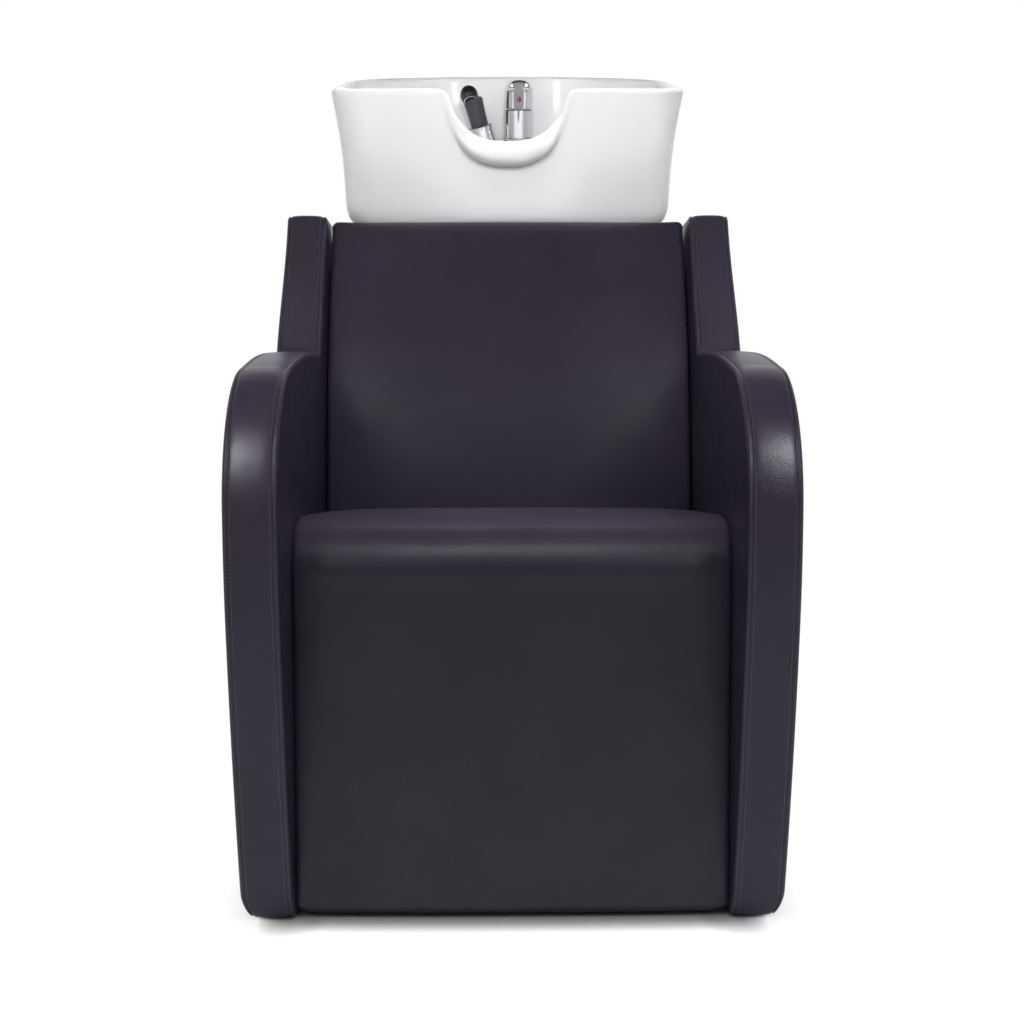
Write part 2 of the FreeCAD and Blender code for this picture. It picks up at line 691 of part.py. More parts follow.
pocket(bracket, hole, 240, "pin_hole_cut")

bolts = []
for sign in (-1, 1):
    for setback in (880, 936):
        x, y = sign * 50, deep(setback)
        tag = "bracket_bolt_%d_%d" % (sign + 1, setback)
        bolts.append(rod(tag, 9, 7, (x, y, BRACKET_TOP)))
keep("bracket_bolts", group("bracket_bolts_group", bolts))

PIN_HALF = EAR_HALF + s.ear_thick
shaft = rod("pin_shaft", s.pin_radius, 2 * PIN_HALF + 14, (-PIN_HALF, deep(s.hinge_at), s.hinge_height), "x")
head = rod("pin_head", 13, 8, (-PIN_HALF - 8, deep(s.hinge_at), s.hinge_height), "x")
keep("tilt_pin", fuse("tilt_pin_fuse", [shaft, head]))
nut = doc.addObject("Part::Prism", "pin_nut_hex")
nut.Polygon, nut.Circumradius, nut.Height = 6, 15, 12
place(nut, PIN_HALF, deep(s.hinge_at), s.hinge_height, ALONG["x"])
nut_bore = rod("pin_nut_bore", s.pin_radius, 14, (PIN_HALF - 1, deep(s.hinge_at), s.hinge_height), "x")
keep("tilt_nut", cut("tilt_nut_cut", nut, [nut_bore]))
washers = []
for tag, x in (("left", -EAR_HALF), ("right", EAR_HALF - 3)):
    ring = rod(tag + "_washer_disc", 18, 3, (x, deep(s.hinge_at), s.hinge_height), "x")
    ring_bore = rod(tag + "_washer_bore", s.pin_radius, 5, (x - 1, deep(s.hinge_at), s.hinge_height), "x")
    washers.append(cut(tag + "_washer", ring, [ring_bore]))
keep("friction_washers", group("friction_washers_group", washers))

# The cradle turns on the pin and carries the basin on rubber pads
KNUCKLE_HALF = EAR_HALF - 3.3
CRADLE_TOP = s.basin_floor - s.pad_height
tube = rod("knuckle", s.knuckle_radius, 2 * KNUCKLE_HALF, (-KNUCKLE_HALF, deep(s.hinge_at), s.hinge_height), "x")
webs = [box("web_%d" % (sign + 1), (sign * 50 - 4, sign * 50 + 4),
            (deep(s.hinge_at - 14), deep(s.hinge_at + 60)),
            (s.hinge_height, CRADLE_TOP - s.plate_thick)) for sign in (-1, 1)]
plate = box("cradle_plate", (-s.cradle_half, s.cradle_half), (deep(s.cradle_front), deep(s.cradle_rear)),
            (CRADLE_TOP - s.plate_thick, CRADLE_TOP))
BUSH_OUTER = s.pin_radius + s.running_gap + s.bush_wall
bore = rod("knuckle_bore", BUSH_OUTER, 2 * KNUCKLE_HALF + 2,
           (-KNUCKLE_HALF - 1, deep(s.hinge_at), s.hinge_height), "x")
waste_gap = rod("cradle_waste_gap", 40, 40, (0, deep(s.waste_at), CRADLE_TOP - 30))
keep("cradle", cut("cradle_cut", fuse("cradle_fuse", [tube, plate] + webs), [bore, waste_gap]))
sleeve = rod("bush_sleeve", BUSH_OUTER, 2 * KNUCKLE_HALF,
             (-KNUCKLE_HALF, deep(s.hinge_at), s.hinge_height), "x")
sleeve_bore = rod("bush_bore", s.pin_radius + s.running_gap, 2 * KNUCKLE_HALF + 2,
                  (-KNUCKLE_HALF - 1, deep(s.hinge_at), s.hinge_height), "x")
keep("tilt_bush", cut("tilt_bush_cut", sleeve, [sleeve_bore]))
STUD_SPOTS = [(sign * 98, setback) for sign in (-1, 1) for setback in (890, 1044)]
pads, studs, stud_holes = [], [], []
for number, (x, setback) in enumerate(STUD_SPOTS):
    disc = rod("basin_pad_disc_%d" % number, 18, s.pad_height, (x, deep(setback), CRADLE_TOP))
    disc_bore = rod("basin_pad_bore_%d" % number, 4, s.pad_height + 2, (x, deep(setback), CRADLE_TOP - 1))
    pads.append(cut("basin_pad_%d" % number, disc, [disc_bore]))
    shank = rod("stud_shank_%d" % number, 4, s.pad_height + 12, (x, deep(setback), CRADLE_TOP))
    cap = rod("stud_head_%d" % number, 8, 5, (x, deep(setback), CRADLE_TOP - s.plate_thick - 5))
    studs += [shank, cap]
    stud_holes.append((x, setback))
keep("basin_pads", group("basin_pads_group", pads))
keep("basin_studs", group("basin_studs_group", studs))


# The ceramic basin: lofted outside, cut by a deep bowl and the room over the tap deck
def ring_wire(front, rear, half, front_round, rear_round, height, height_rear=None):
    # A level outline with square-ish front corners and a well rounded back
    shift = s.unit_depth.value / 2
    height_rear = height if height_rear is None else height_rear

    def spot(x, distance):
        share = (distance - front) / (rear - front)
        return Vec(x, distance - shift, height + (height_rear - height) * share)

    k = 1 - math.sqrt(0.5)
    points, mids = [], {}
    for x, setback, size, turn in ((-half, front, front_round, 1), (-half, rear, rear_round, -1),
                                   (half, rear, rear_round, -1), (half, front, front_round, 1)):
        inward = 1 if x < 0 else -1
        along_x = spot(x + inward * size, setback)
        along_y = spot(x, setback + turn * size)
        middle = spot(x + inward * size * k, setback + turn * size * k)
        points.append((along_x, along_y, middle))
    order = [points[0][1], points[1][1], points[1][0], points[2][0],
             points[2][1], points[3][1], points[3][0], points[0][0]]
    arcs = {1: points[1][2], 3: points[2][2], 5: points[3][2], 7: points[0][2]}
    return wire_of(order, arcs)


def finer(levels, steps):
    # Adds outlines between the given ones, on a smooth curve through their values
    rows = [tuple(level) + (level[5],) * (7 - len(level)) for level in levels]
    result = []
    for k in range(len(rows) - 1):
        a, b, c, d = rows[max(k - 1, 0)], rows[k], rows[k + 1], rows[min(k + 2, len(rows) - 1)]
        for step in range(steps):
            t = step / steps
            values = zip(a, b, c, d)
            result.append(tuple(0.5 * (2 * q + (r - p) * t + (2 * p - 5 * q + 4 * r - u) * t ** 2
                                       + (3 * q - p - 3 * r + u) * t ** 3) for p, q, r, u in values))
    return result + [rows[-1]]


def stacked(levels, steps):
    # A solid through level outlines, with straight walls from each to the next
    return Part.makeLoft([ring_wire(*level) for level in finer(levels, steps)], True, True)


front, rear = s.basin_front.value, s.basin_rear.value
belly, rim = s.belly_half.value, s.rim_half.value
low, rim_low, rim_high = s.basin_floor.value, s.rim_front_height.value, s.rim_rear_height.value
wall = s.basin_wall.value
OUTSIDE = [
    (front + 70, rear - 165, belly - 80, 60, 90, low),
    (front + 34, rear - 142, belly - 38, 60, 110, low + 6),
    (front + 13, rear - 122, belly - 13, 56, 130, low + 18),
    (front + 4, rear - 102, belly - 3, 52, 145, low + 36),
    (front + 2, rear - 74, belly, 52, 152, low + 74),
    (front + 2, rear - 34, belly + 2, 48, 176, low + 118),
    (front + 2, rear - 12, belly + 7, 46, 196, low + 165),
    (front, rear, rim, 44, 212, rim_low, rim_high),
]
outer = stacked(OUTSIDE, 2)
floor = s.bowl_depth_floor.value
deck_front = s.deck_front.value
deep_bowl = stacked([
    (front + 100, deck_front - 64, belly - 98, 50, 60, floor),
    (front + 52, deck_front - 32, belly - 52, 66, 100, floor + 12),
    (front + 29, deck_front - 14, belly - 27, 60, 126, floor + 42),
    (front + 20, deck_front, belly - 18, 56, 140, s.deck_height.value + 1)], 2)
deck = s.deck_height.value
over_deck = stacked([
    (front + 20, rear - 54, belly - 18, 50, 170, deck),
    (front + 18, rear - 28, belly - 10, 44, 190, deck + 40),
    (front + 16, rear - 15, rim - 15, 36, 198, rim_low + 30, rim_high + 30)], 1)
shift = s.unit_depth.value / 2
recess = Part.makeBox(150, 64, deck - low - s.deck_thick.value + 20,
                      Vec(-75 - 6, deck_front + 12 - shift, low - 20))
recess = recess.makeFillet(14, [edge for edge in recess.Edges if edge.BoundBox.ZLength > 20])


def notch_wire(grow, y):
    # The rounded neck notch seen from the front, grown outwards by a margin
    top_half, low_half = s.notch_top_half.value + grow * 0.12, s.notch_low_half.value + grow * 0.5
    top = rim_low + 30
    bottom = rim_low - s.notch_drop.value - grow
    knee = bottom + 46 + grow * 0.4
    side_x = top_half - (rim_low - knee) * 0.16
    points = [Vec(-top_half - 6, y, top), Vec(top_half + 6, y, top), Vec(side_x, y, knee),
              Vec(low_half * 0.55, y, bottom), Vec(-low_half * 0.55, y, bottom), Vec(-side_x, y, knee)]
    mids = {2: Vec(side_x * 0.78, y, bottom + 13), 4: Vec(-side_x * 0.78, y, bottom + 13)}
    return wire_of(points, mids)


def notch_block(stations):
    # A block through notch outlines given as pairs of depth and growth
    return Part.makeLoft([notch_wire(grow, at - shift) for at, grow in stations], True, True)


reach, roll = s.lip_reach.value, s.lip_size.value
ROLL_DROP = 17
lip = notch_block([(front - reach * share, roll - ROLL_DROP * (1 - math.sqrt(1 - share ** 2)))
                   for share in (1, 0.93, 0.75, 0.45, 0)] + [(front + 12, roll)])
trim = Part.makeBox(800, 200, 200, Vec(-400, front - 100 - shift, rim_low - 2))
lip = lip.cut(trim)
bowl = outer.cut(deep_bowl).cut(over_deck).cut(recess).fuse(lip)
bowl = bowl.cut(notch_block([(front - reach - 1, 13), (front - reach * 0.6, 3),
                             (front - reach * 0.2, 0), (front + 60, 0)]))
holes = [Part.makeCylinder(s.waste_hole.value, 80, Vec(0, s.waste_at.value - shift, low - 20)),
         Part.makeCylinder(17, 60, Vec(s.tap_right.value, s.tap_at.value - shift, deck - 40)),
         Part.makeCylinder(17, 60, Vec(-s.spray_left.value, s.spray_at.value - shift, deck - 40))]
holes += [Part.makeCylinder(4, 12, Vec(x, setback - shift, low)) for x, setback in stud_holes]
for tool in holes:
    bowl = bowl.cut(tool)
bowl = bowl.removeSplitter()
if len(bowl.Solids) == 1:
    bowl = bowl.Solids[0]
basin = doc.addObject("Part::Feature", "basin_bowl")
basin.Shape = bowl
keep("basin_bowl", basin)

# The waste: flange, seal, back nut, tail and the strainer that lifts out
WASTE = (0, deep(s.waste_at))
drop = s.bowl_depth_floor
turned("waste_flange", [
    (18, -60), (18, 1), (30, 3), (34, 0), (s.waste_hole, 0), (s.waste_hole, -60)], WASTE[0], WASTE[1], drop)
turned("waste_seal", [
    (s.waste_hole, -6), (s.waste_hole, 0), (34, 0), (34, -6)], WASTE[0], WASTE[1], s.basin_floor)
turned("waste_nut", [
    (s.waste_hole, -18), (s.waste_hole, -6), (36, -6), (36, -18)], WASTE[0], WASTE[1], s.basin_floor)
turned("waste_tail", [
    (13, -80), (13, 0), (18, 0), (18, -31), (16, -31), (16, -80)], WASTE[0], WASTE[1], drop - 30)
strainer = turned("waste_strainer", [
    (0, 4), (0, 9), (12, 7.5), (24, 4.5), (24, 3.4), (17.6, 2.4), (17.6, -12), (15.4, -12), (15.4, 3)],
    WASTE[0], WASTE[1], drop)

# The mixer tap on the rear deck
TAP = (s.tap_right, deep(s.tap_at))
DECK = s.deck_height
rise = s.tap_top - DECK
turned("tap_gasket", [(12, 0), (12, 1.5), (s.tap_radius + 2, 1.5), (s.tap_radius + 2, 0)], TAP[0], TAP[1], DECK)
turned("tap_base_ring", [
    (12, 1.5), (12, 7), (s.tap_radius + 1, 7), (s.tap_radius + 3, 5), (s.tap_radius + 3, 1.5)],
    TAP[0], TAP[1], DECK)
turned("tap_body", [
    (0, 7), (0, rise - 20), (17, rise - 20), (17, rise), (s.tap_radius - 2, rise),
    (s.tap_radius, rise - 2), (s.tap_radius, 7)], TAP[0], TAP[1], DECK)
turned("tap_cartridge", [
    (0, rise - 20), (0, rise - 1), (16, rise - 1), (17, rise - 2), (17, rise - 20)], TAP[0], TAP[1], DECK)
turned("tap_shank", [(0, -46), (0, 7), (12, 7), (12, -46)], TAP[0], TAP[1], DECK)
under = -s.deck_thick
turned("tap_nut", [(12, under - 12), (12, under), (22, under), (22, under - 12)], TAP[0], TAP[1], DECK)
turned("tap_carrier", [(0, rise - 0.6), (0, rise + 12), (9, rise + 12), (10, rise + 11), (10, rise - 0.6)],
       TAP[0], TAP[1], DECK)
PIVOT = s.tap_top + 6
carrier = pieces["tap_carrier"]
carrier_bore = carrier.newObject("Sketcher::SketchObject", "carrier_bore")
carrier_bore.AttachmentSupport = (origin_plane(carrier, "YZ_Plane"), [""])
carrier_bore.MapMode = "FlatFace"
carrier_bore.AttachmentOffset = FreeCAD.Placement(Vec(0, 0, 20), FreeCAD.Rotation())
carrier_bore.addGeometry(Part.Circle(Vec(0, (rise + 6).value, 0), Vec(0, 0, 1), 2.55), False)
number = carrier_bore.addConstraint(Sketcher.Constraint("DistanceX", -1, 1, 0, 3, 0))
number = carrier_bore.addConstraint(Sketcher.Constraint("DistanceY", -1, 1, 0, 3, (rise + 6).value))
bind(carrier_bore, "Constraints[%d]" % number, rise + 6)
carrier_bore.addConstraint(Sketcher.Constraint("Radius", 0, 2.55))
pocket(carrier, carrier_bore, 40, "carrier_bore_cut")
keep("lever_pin", rod("lever_pin_rod", 2.5, 34, (s.tap_right - 17, deep(s.tap_at), PIVOT), "x"))

# The lever: a round cap hollowed over the carrier, with a flat front and a broad paddle
cap_low = s.tap_top + 1.5
cap_high = s.lever_top - 6
cap_radius = s.tap_radius - 1
cap = turned("tap_lever", [
    (19, cap_low), (19, cap_high - 12), (0, cap_high - 12), (0, cap_high + 4), (12, cap_high + 3),
    (cap_radius - 4, cap_high), (cap_radius, cap_high - 4), (cap_radius, cap_low)], TAP[0], TAP[1], 0)
for tag, x in (("left", -18), ("right", 13)):
    drawing = sketch(cap, "YZ_Plane", tag + "_cheek", [
        (-7, PIVOT - 1), (-7, cap_high - 11), (7, cap_high - 11), (7, PIVOT - 1),
        (0, PIVOT - 4.5)], offset=x)
    pad(cap, drawing, 5, tag + "_cheek_pad")
paddle_low = s.lever_top - 17
drawing = sketch(cap, "XZ_Plane", "paddle_end", [
    (-19, paddle_low), (-19, s.lever_top - 9), (-10, s.lever_top), (10, s.lever_top),
    (19, s.lever_top - 9), (19, paddle_low)], {1: 10, 3: 10}, offset=0)
pad(cap, drawing, 58, "paddle_pad")
for tag, low, high in (("pivot", 2.5, 0),):
    bore = cap.newObject("Sketcher::SketchObject", "cheek_bore")
    bore.AttachmentSupport = (origin_plane(cap, "YZ_Plane"), [""])
    bore.MapMode = "FlatFace"
    bore.AttachmentOffset = FreeCAD.Placement(Vec(0, 0, 18), FreeCAD.Rotation())
    bore.addGeometry(Part.Circle(Vec(0, PIVOT.value, 0), Vec(0, 0, 1), 2.5), False)
    bore.addConstraint(Sketcher.Constraint("DistanceX", -1, 1, 0, 3, 0))
    number = bore.addConstraint(Sketcher.Constraint("DistanceY", -1, 1, 0, 3, PIVOT.value))
    bind(bore, "Constraints[%d]" % number, PIVOT)
    bore.addConstraint(Sketcher.Constraint("Radius", 0, 2.5))
    pocket(cap, bore, 36, "cheek_bore_cut")
relief = sketch(cap, "YZ_Plane", "rear_relief", [
    (2, cap_low - 1), (30, cap_low + 13), (30, cap_low - 1)], offset=30)
pocket(cap, relief, 60, "rear_relief_cut")
drawing = sketch(cap, "YZ_Plane", "flat_front", [
    (-cap_radius - 2, cap_low - 1), (-cap_radius - 2, paddle_low), (-cap_radius + 2.5, paddle_low),
    (-cap_radius + 2.5, cap_low - 1)], offset=30)
pocket(cap, drawing, 60, "flat_front_cut")
for node, turn in (("hot_mark", 90), ("cold_mark", -90)):
    mark = doc.addObject("Part::Cylinder", node + "_disc")
    mark.Radius, mark.Height, mark.Angle = 4.2, 0.8, 180
    rotation = FreeCAD.Rotation(Vec(1, 0, 0), 90).multiply(FreeCAD.Rotation(Vec(0, 0, 1), turn))
    place(mark, s.tap_right, deep(s.tap_at) - cap_radius + 2.5, s.tap_top + 17, rotation)
    keep(node, mark)

# The hand spray leans to the left in a chrome socket on the deck
SPRAY = (-s.spray_left, deep(s.spray_at))
LEAN = FreeCAD.Rotation(Vec(0, 1, 0), -s.spray_lean.value)
turned("spray_flange", [(15, -34), (15, 0), (15, 5), (21, 5), (23, 3), (23, 0), (17, 0), (17, -34)],
       SPRAY[0], SPRAY[1], DECK)
turned("spray_nut", [(17, under - 10), (17, under), (23, under), (23, under - 10)], SPRAY[0], SPRAY[1], DECK)
collar = doc.addObject("Part::Feature", "spray_socket")
deck_spot = Vec(SPRAY[0].value, SPRAY[1].value, DECK.value)
leaning = FreeCAD.Placement(deck_spot, LEAN)
barrel = Part.makeCylinder(20, 58, Vec(0, 0, -32))
barrel_bore = Part.makeCylinder(14.5, 80, Vec(0, 0, -40))
barrel.Placement = leaning
barrel_bore.Placement = leaning
above = Part.makeCylinder(60, 60, deck_spot + Vec(0, 0, 5))
collar.Shape = barrel.common(above).cut(barrel_bore).removeSplitter()
keep("spray_socket", collar)
turned("spray_handle", [(0, 27), (0, 78), (s.spray_radius + 1, 78), (s.spray_radius - 2.5, 30),
                        (s.spray_radius - 4, 27)], SPRAY[0], SPRAY[1], DECK, LEAN)
turned("spray_ring", [(0, 22), (0, 27), (13, 27), (13.5, 26.6), (13.5, 22)], SPRAY[0], SPRAY[1], DECK, LEAN)
turned("spray_nipple", [(0, -10), (0, 22), (9, 22), (9, -10)], SPRAY[0], SPRAY[1], DECK, LEAN)
turned("spray_head", [(0, 78), (0, 100), (9, 98), (15, 93), (18.5, 85), (s.spray_radius + 1, 78)],
       SPRAY[0], SPRAY[1], DECK, LEAN)

doc.recompute()
os.makedirs("parts", exist_ok=True)
faults = []
for node, obj in pieces.items():
    if {"Invalid", "Error"} & set(obj.State) or obj.Shape.isNull() or not obj.Shape.isValid():
        faults.append(node)
        continue
    obj.Shape.exportStep("parts/%s.step" % node)
print(len(pieces), "pieces", "faults:", faults)
for node, obj in pieces.items():
    if node not in faults and len(obj.Shape.Solids) == 0:
        print("no solid", node)
if faults:
    raise SystemExit("faulty pieces: " + ", ".join(faults))
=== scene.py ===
# Salon backwash unit: upholstery, ceramic basin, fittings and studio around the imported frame.
import bpy
import bmesh
import json
import math
from itertools import product
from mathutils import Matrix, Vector
from mathutils.geometry import delaunay_2d_cdt


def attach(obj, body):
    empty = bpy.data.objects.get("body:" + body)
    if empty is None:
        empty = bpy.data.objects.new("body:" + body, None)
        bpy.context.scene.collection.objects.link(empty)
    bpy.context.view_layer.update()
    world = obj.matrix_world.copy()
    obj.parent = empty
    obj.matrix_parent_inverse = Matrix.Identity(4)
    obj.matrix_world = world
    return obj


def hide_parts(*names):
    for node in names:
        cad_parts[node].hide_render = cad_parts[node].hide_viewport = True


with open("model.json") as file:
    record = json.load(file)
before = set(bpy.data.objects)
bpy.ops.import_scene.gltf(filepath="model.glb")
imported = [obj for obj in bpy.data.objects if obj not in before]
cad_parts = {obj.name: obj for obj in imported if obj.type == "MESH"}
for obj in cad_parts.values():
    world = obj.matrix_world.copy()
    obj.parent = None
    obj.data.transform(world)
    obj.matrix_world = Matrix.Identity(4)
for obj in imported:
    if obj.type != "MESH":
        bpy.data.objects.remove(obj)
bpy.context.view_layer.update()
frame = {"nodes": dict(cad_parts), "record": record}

MM = 0.001
HALF_DEPTH = 620


def spot(x, distance, height):
    # A point from millimetres: across, behind the front of the arms, above the floor
    return Vector((x * MM, (distance - HALF_DEPTH) * MM, height * MM))


def lerp(a, b, t):
    return a + (b - a) * t


def smooth(t):
    t = min(max(t, 0.0), 1.0)
    return t * t * (3 - 2 * t)


# Node helpers for the materials
def new_material(name):
    material = bpy.data.materials.new(name)
    material.use_nodes = True
    tree = material.node_tree
    shader = tree.nodes["Principled BSDF"]
    return material, tree, shader


def node(tree, kind, **settings):
    made = tree.nodes.new(kind)
    for key, value in settings.items():
        if key in made.inputs:
            made.inputs[key].default_value = value
        else:
            setattr(made, key, value)
    return made


def position(tree):
    return tree.nodes.new("ShaderNodeTexCoord").outputs["Object"]


def noise(tree, scale, detail=3.0, rough=0.5, source=None):
    made = node(tree, "ShaderNodeTexNoise", Scale=scale, Detail=detail, Roughness=rough)
    tree.links.new(source or position(tree), made.inputs["Vector"])
    return made.outputs["Fac"]


def spread(tree, value, low, high, from_low=0.0, from_high=1.0):
    made = node(tree, "ShaderNodeMapRange")
    tree.links.new(value, made.inputs["Value"])
    for key, number in (("From Min", from_low), ("From Max", from_high), ("To Min", low), ("To Max", high)):
        made.inputs[key].default_value = number
    return made.outputs["Result"]


def ramp(tree, value, stops):
    made = node(tree, "ShaderNodeValToRGB")
    tree.links.new(value, made.inputs["Fac"])
    band = made.color_ramp
    while len(band.elements) < len(stops):
        band.elements.new(0.5)
    for element, (at, colour) in zip(band.elements, stops):
        element.position = at
        element.color = (*colour, 1)
    return made.outputs["Color"]


def bump(tree, shader, height, strength, distance, after=None):
    made = node(tree, "ShaderNodeBump", Strength=strength, Distance=distance)
    tree.links.new(height, made.inputs["Height"])
    if after is not None:
        tree.links.new(after, made.inputs["Normal"])
    tree.links.new(made.outputs["Normal"], shader.inputs["Normal"])
    return made.outputs["Normal"]


def vinyl(name, dark, light, grain=1.0):
    # Satin vinyl: pebble grain, faint mottling and slightly uneven polish
    material, tree, shader = new_material(name)
    cloud = noise(tree, 9.0, 4.0, 0.6)
    tree.links.new(ramp(tree, cloud, [(0.3, dark), (0.72, light)]), shader.inputs["Base Color"])
    tree.links.new(spread(tree, noise(tree, 26.0, 3.0), 0.28, 0.37), shader.inputs["Roughness"])
    shader.inputs["Specular IOR Level"].default_value = 0.24
    cells = node(tree, "ShaderNodeTexVoronoi", Scale=760.0, feature="SMOOTH_F1")
    cells.inputs["Smoothness"].default_value = 0.6
    warp = node(tree, "ShaderNodeVectorMath", operation="ADD")
    shake = node(tree, "ShaderNodeTexNoise", Scale=420.0, Detail=2.0)
    scaled = node(tree, "ShaderNodeVectorMath", operation="SCALE")
    scaled.inputs["Scale"].default_value = 0.0016
    place = position(tree)
    tree.links.new(place, shake.inputs["Vector"])
    tree.links.new(shake.outputs["Color"], scaled.inputs[0])
    tree.links.new(place, warp.inputs[0])
    tree.links.new(scaled.outputs["Vector"], warp.inputs[1])
    tree.links.new(warp.outputs["Vector"], cells.inputs["Vector"])
    first = bump(tree, shader, noise(tree, 60.0, 4.0, 0.55), 0.10 * grain, 0.002)
    bump(tree, shader, cells.outputs["Distance"], 0.16 * grain, 0.0006, after=first)
    return material


def plain(name, colour, rough, metallic=0.0, wear=0.06, scale=40.0, coat=0.0, dent=0.0, spec=0.5):
    # A solid material with mottled colour, uneven gloss and a fine surface bump
    material, tree, shader = new_material(name)
    dark = tuple(c * (1 - wear) for c in colour)
    light = tuple(min(c * (1 + wear), 1.0) for c in colour)
    cloud = noise(tree, scale, 4.0, 0.55)
    tree.links.new(ramp(tree, cloud, [(0.3, dark), (0.7, light)]), shader.inputs["Base Color"])
    low, high = rough
    tree.links.new(spread(tree, noise(tree, scale * 2.3, 3.0), low, high), shader.inputs["Roughness"])
    shader.inputs["Metallic"].default_value = metallic
    shader.inputs["Specular IOR Level"].default_value = spec
    shader.inputs["Coat Weight"].default_value = coat
    shader.inputs["Coat Roughness"].default_value = 0.05
    if dent:
        bump(tree, shader, noise(tree, scale * 8, 3.0), dent, 0.0008)
    return material


def timber(name, dark, light):
    # Plywood: long streaks along one axis with a soft grain
    material, tree, shader = new_material(name)
    stretch = node(tree, "ShaderNodeMapping")
    stretch.inputs["Scale"].default_value = (60.0, 5.0, 60.0)
    tree.links.new(position(tree), stretch.inputs["Vector"])
    streak = noise(tree, 1.0, 5.0, 0.6, stretch.outputs["Vector"])
    tree.links.new(ramp(tree, streak, [(0.3, dark), (0.7, light)]), shader.inputs["Base Color"])
    tree.links.new(spread(tree, streak, 0.55, 0.75), shader.inputs["Roughness"])
    bump(tree, shader, streak, 0.12, 0.001)
    return material


VINYL = vinyl("vinyl_aubergine", (0.0222, 0.0166, 0.0305), (0.0300, 0.0228, 0.0405), 1.6)
# The seat uses a darker, greyer copy of the same vinyl: painted shade for the recessed seat and apron
SHADED_SEAT_VINYL = vinyl("vinyl_seat_painted_shade", (0.0180, 0.0140, 0.0238), (0.0242, 0.0192, 0.0316), 1.6)
THREAD = plain("thread_grey", (0.075, 0.066, 0.085), (0.55, 0.7), wear=0.25, scale=300.0, dent=0.4)
GRIP = plain("grip_charcoal", (0.050, 0.042, 0.052), (0.34, 0.46), wear=0.12, scale=70.0, dent=0.06)
CERAMIC = plain("glazed_white", (0.86, 0.86, 0.875), (0.07, 0.12), wear=0.012, scale=14.0, coat=0.35,
                dent=0.015)
CHROME = plain("chrome_bright", (0.80, 0.81, 0.83), (0.035, 0.075), metallic=1.0, wear=0.03, scale=60.0)
MATERIALS = {
    "vinyl": VINYL,
    "padding": VINYL,
    "plywood": timber("plywood_birch", (0.36, 0.24, 0.13), (0.55, 0.40, 0.24)),
    "laminate": plain("laminate_dark", (0.022, 0.018, 0.024), (0.42, 0.55), wear=0.15, scale=30.0, dent=0.08),
    "black_steel": plain("powder_coat", (0.018, 0.018, 0.020), (0.45, 0.6), wear=0.15, scale=90.0, dent=0.25),
    "zinc": plain("zinc_plate", (0.55, 0.56, 0.58), (0.28, 0.42), metallic=1.0, wear=0.1, scale=120.0),
    "friction": plain("fibre_grey", (0.10, 0.095, 0.09), (0.6, 0.75), wear=0.15, scale=160.0, dent=0.2),
    "rubber": plain("rubber_black", (0.014, 0.014, 0.014), (0.6, 0.8), wear=0.2, scale=120.0, dent=0.2),
    "glide": plain("glide_black", (0.016, 0.016, 0.016), (0.45, 0.6), wear=0.2, scale=120.0, dent=0.15),
    "ceramic": CERAMIC,
    "chrome": CHROME,
    "brass": plain("brass_raw", (0.62, 0.44, 0.17), (0.25, 0.4), metallic=1.0, wear=0.1, scale=120.0),
    "white_plastic": plain("plastic_white", (0.72, 0.72, 0.70), (0.4, 0.5), wear=0.03, scale=80.0, dent=0.08),
    "black_gloss": plain("plastic_black", (0.012, 0.011, 0.013), (0.14, 0.24), wear=0.2, scale=90.0,
                         coat=0.4),
    "hot_red": plain("mark_red", (0.60, 0.06, 0.12), (0.15, 0.25), wear=0.05, scale=400.0),
    "cold_blue": plain("mark_blue", (0.04, 0.07, 0.30), (0.15, 0.25), wear=0.05, scale=400.0),
}
STAINED = timber("plywood_stained", (0.016, 0.013, 0.014), (0.030, 0.025, 0.026))
STAINED_NODES = ("back_board", "upper_cross_bar", "lower_cross_bar")
for row in frame["record"]["subparts"]:
    cad = frame["nodes"][row["node"]]
    cad.data.materials.clear()
    stained = row["node"] in STAINED_NODES
    cad.data.materials.append(STAINED if stained else MATERIALS[row["material_slot"]])


# Mesh helpers
def make_piece(name, points, faces, body, material, sharp=None):
    mesh = bpy.data.meshes.new(name)
    mesh.from_pydata([tuple(p) for p in points], [], faces)
    work = bmesh.new()
    work.from_mesh(mesh)
    bmesh.ops.remove_doubles(work, verts=work.verts, dist=1e-6)
    bmesh.ops.recalc_face_normals(work, faces=work.faces)
    work.to_mesh(mesh)
    work.free()
    for polygon in mesh.polygons:
        polygon.use_smooth = True
    if sharp:
        mesh.set_sharp_from_angle(angle=math.radians(sharp))
    piece = bpy.data.objects.new(name, mesh)
    bpy.context.scene.collection.objects.link(piece)
    mesh.materials.append(material)
    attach(piece, body)
    return piece


def bridge(rows):
    # Quads between closed rows of vertex numbers
    faces = []
    for low, high in zip(rows, rows[1:]):
        count = len(low)
        for i in range(count):
            j = (i + 1) % count
            faces.append((low[i], low[j], high[j], high[i]))
    return faces


def arc_points(start, finish, radius, steps):
    # Points along the clockwise arc between two corners, without the first
    start, finish = Vector(start), Vector(finish)
    chord = finish - start
    reach = math.sqrt(max(radius ** 2 - (chord.length / 2) ** 2, 0))
    centre = (start + finish) / 2 + Vector((chord.y, -chord.x)) / chord.length * reach
    a = math.atan2(start.y - centre.y, start.x - centre.x)
    b = math.atan2(finish.y - centre.y, finish.x - centre.x)
    while b > a:
        b -= 2 * math.pi
    turns = [a + (b - a) * k / steps for k in range(1, steps + 1)]
    return [centre + Vector((math.cos(turn), math.sin(turn))) * radius for turn in turns]


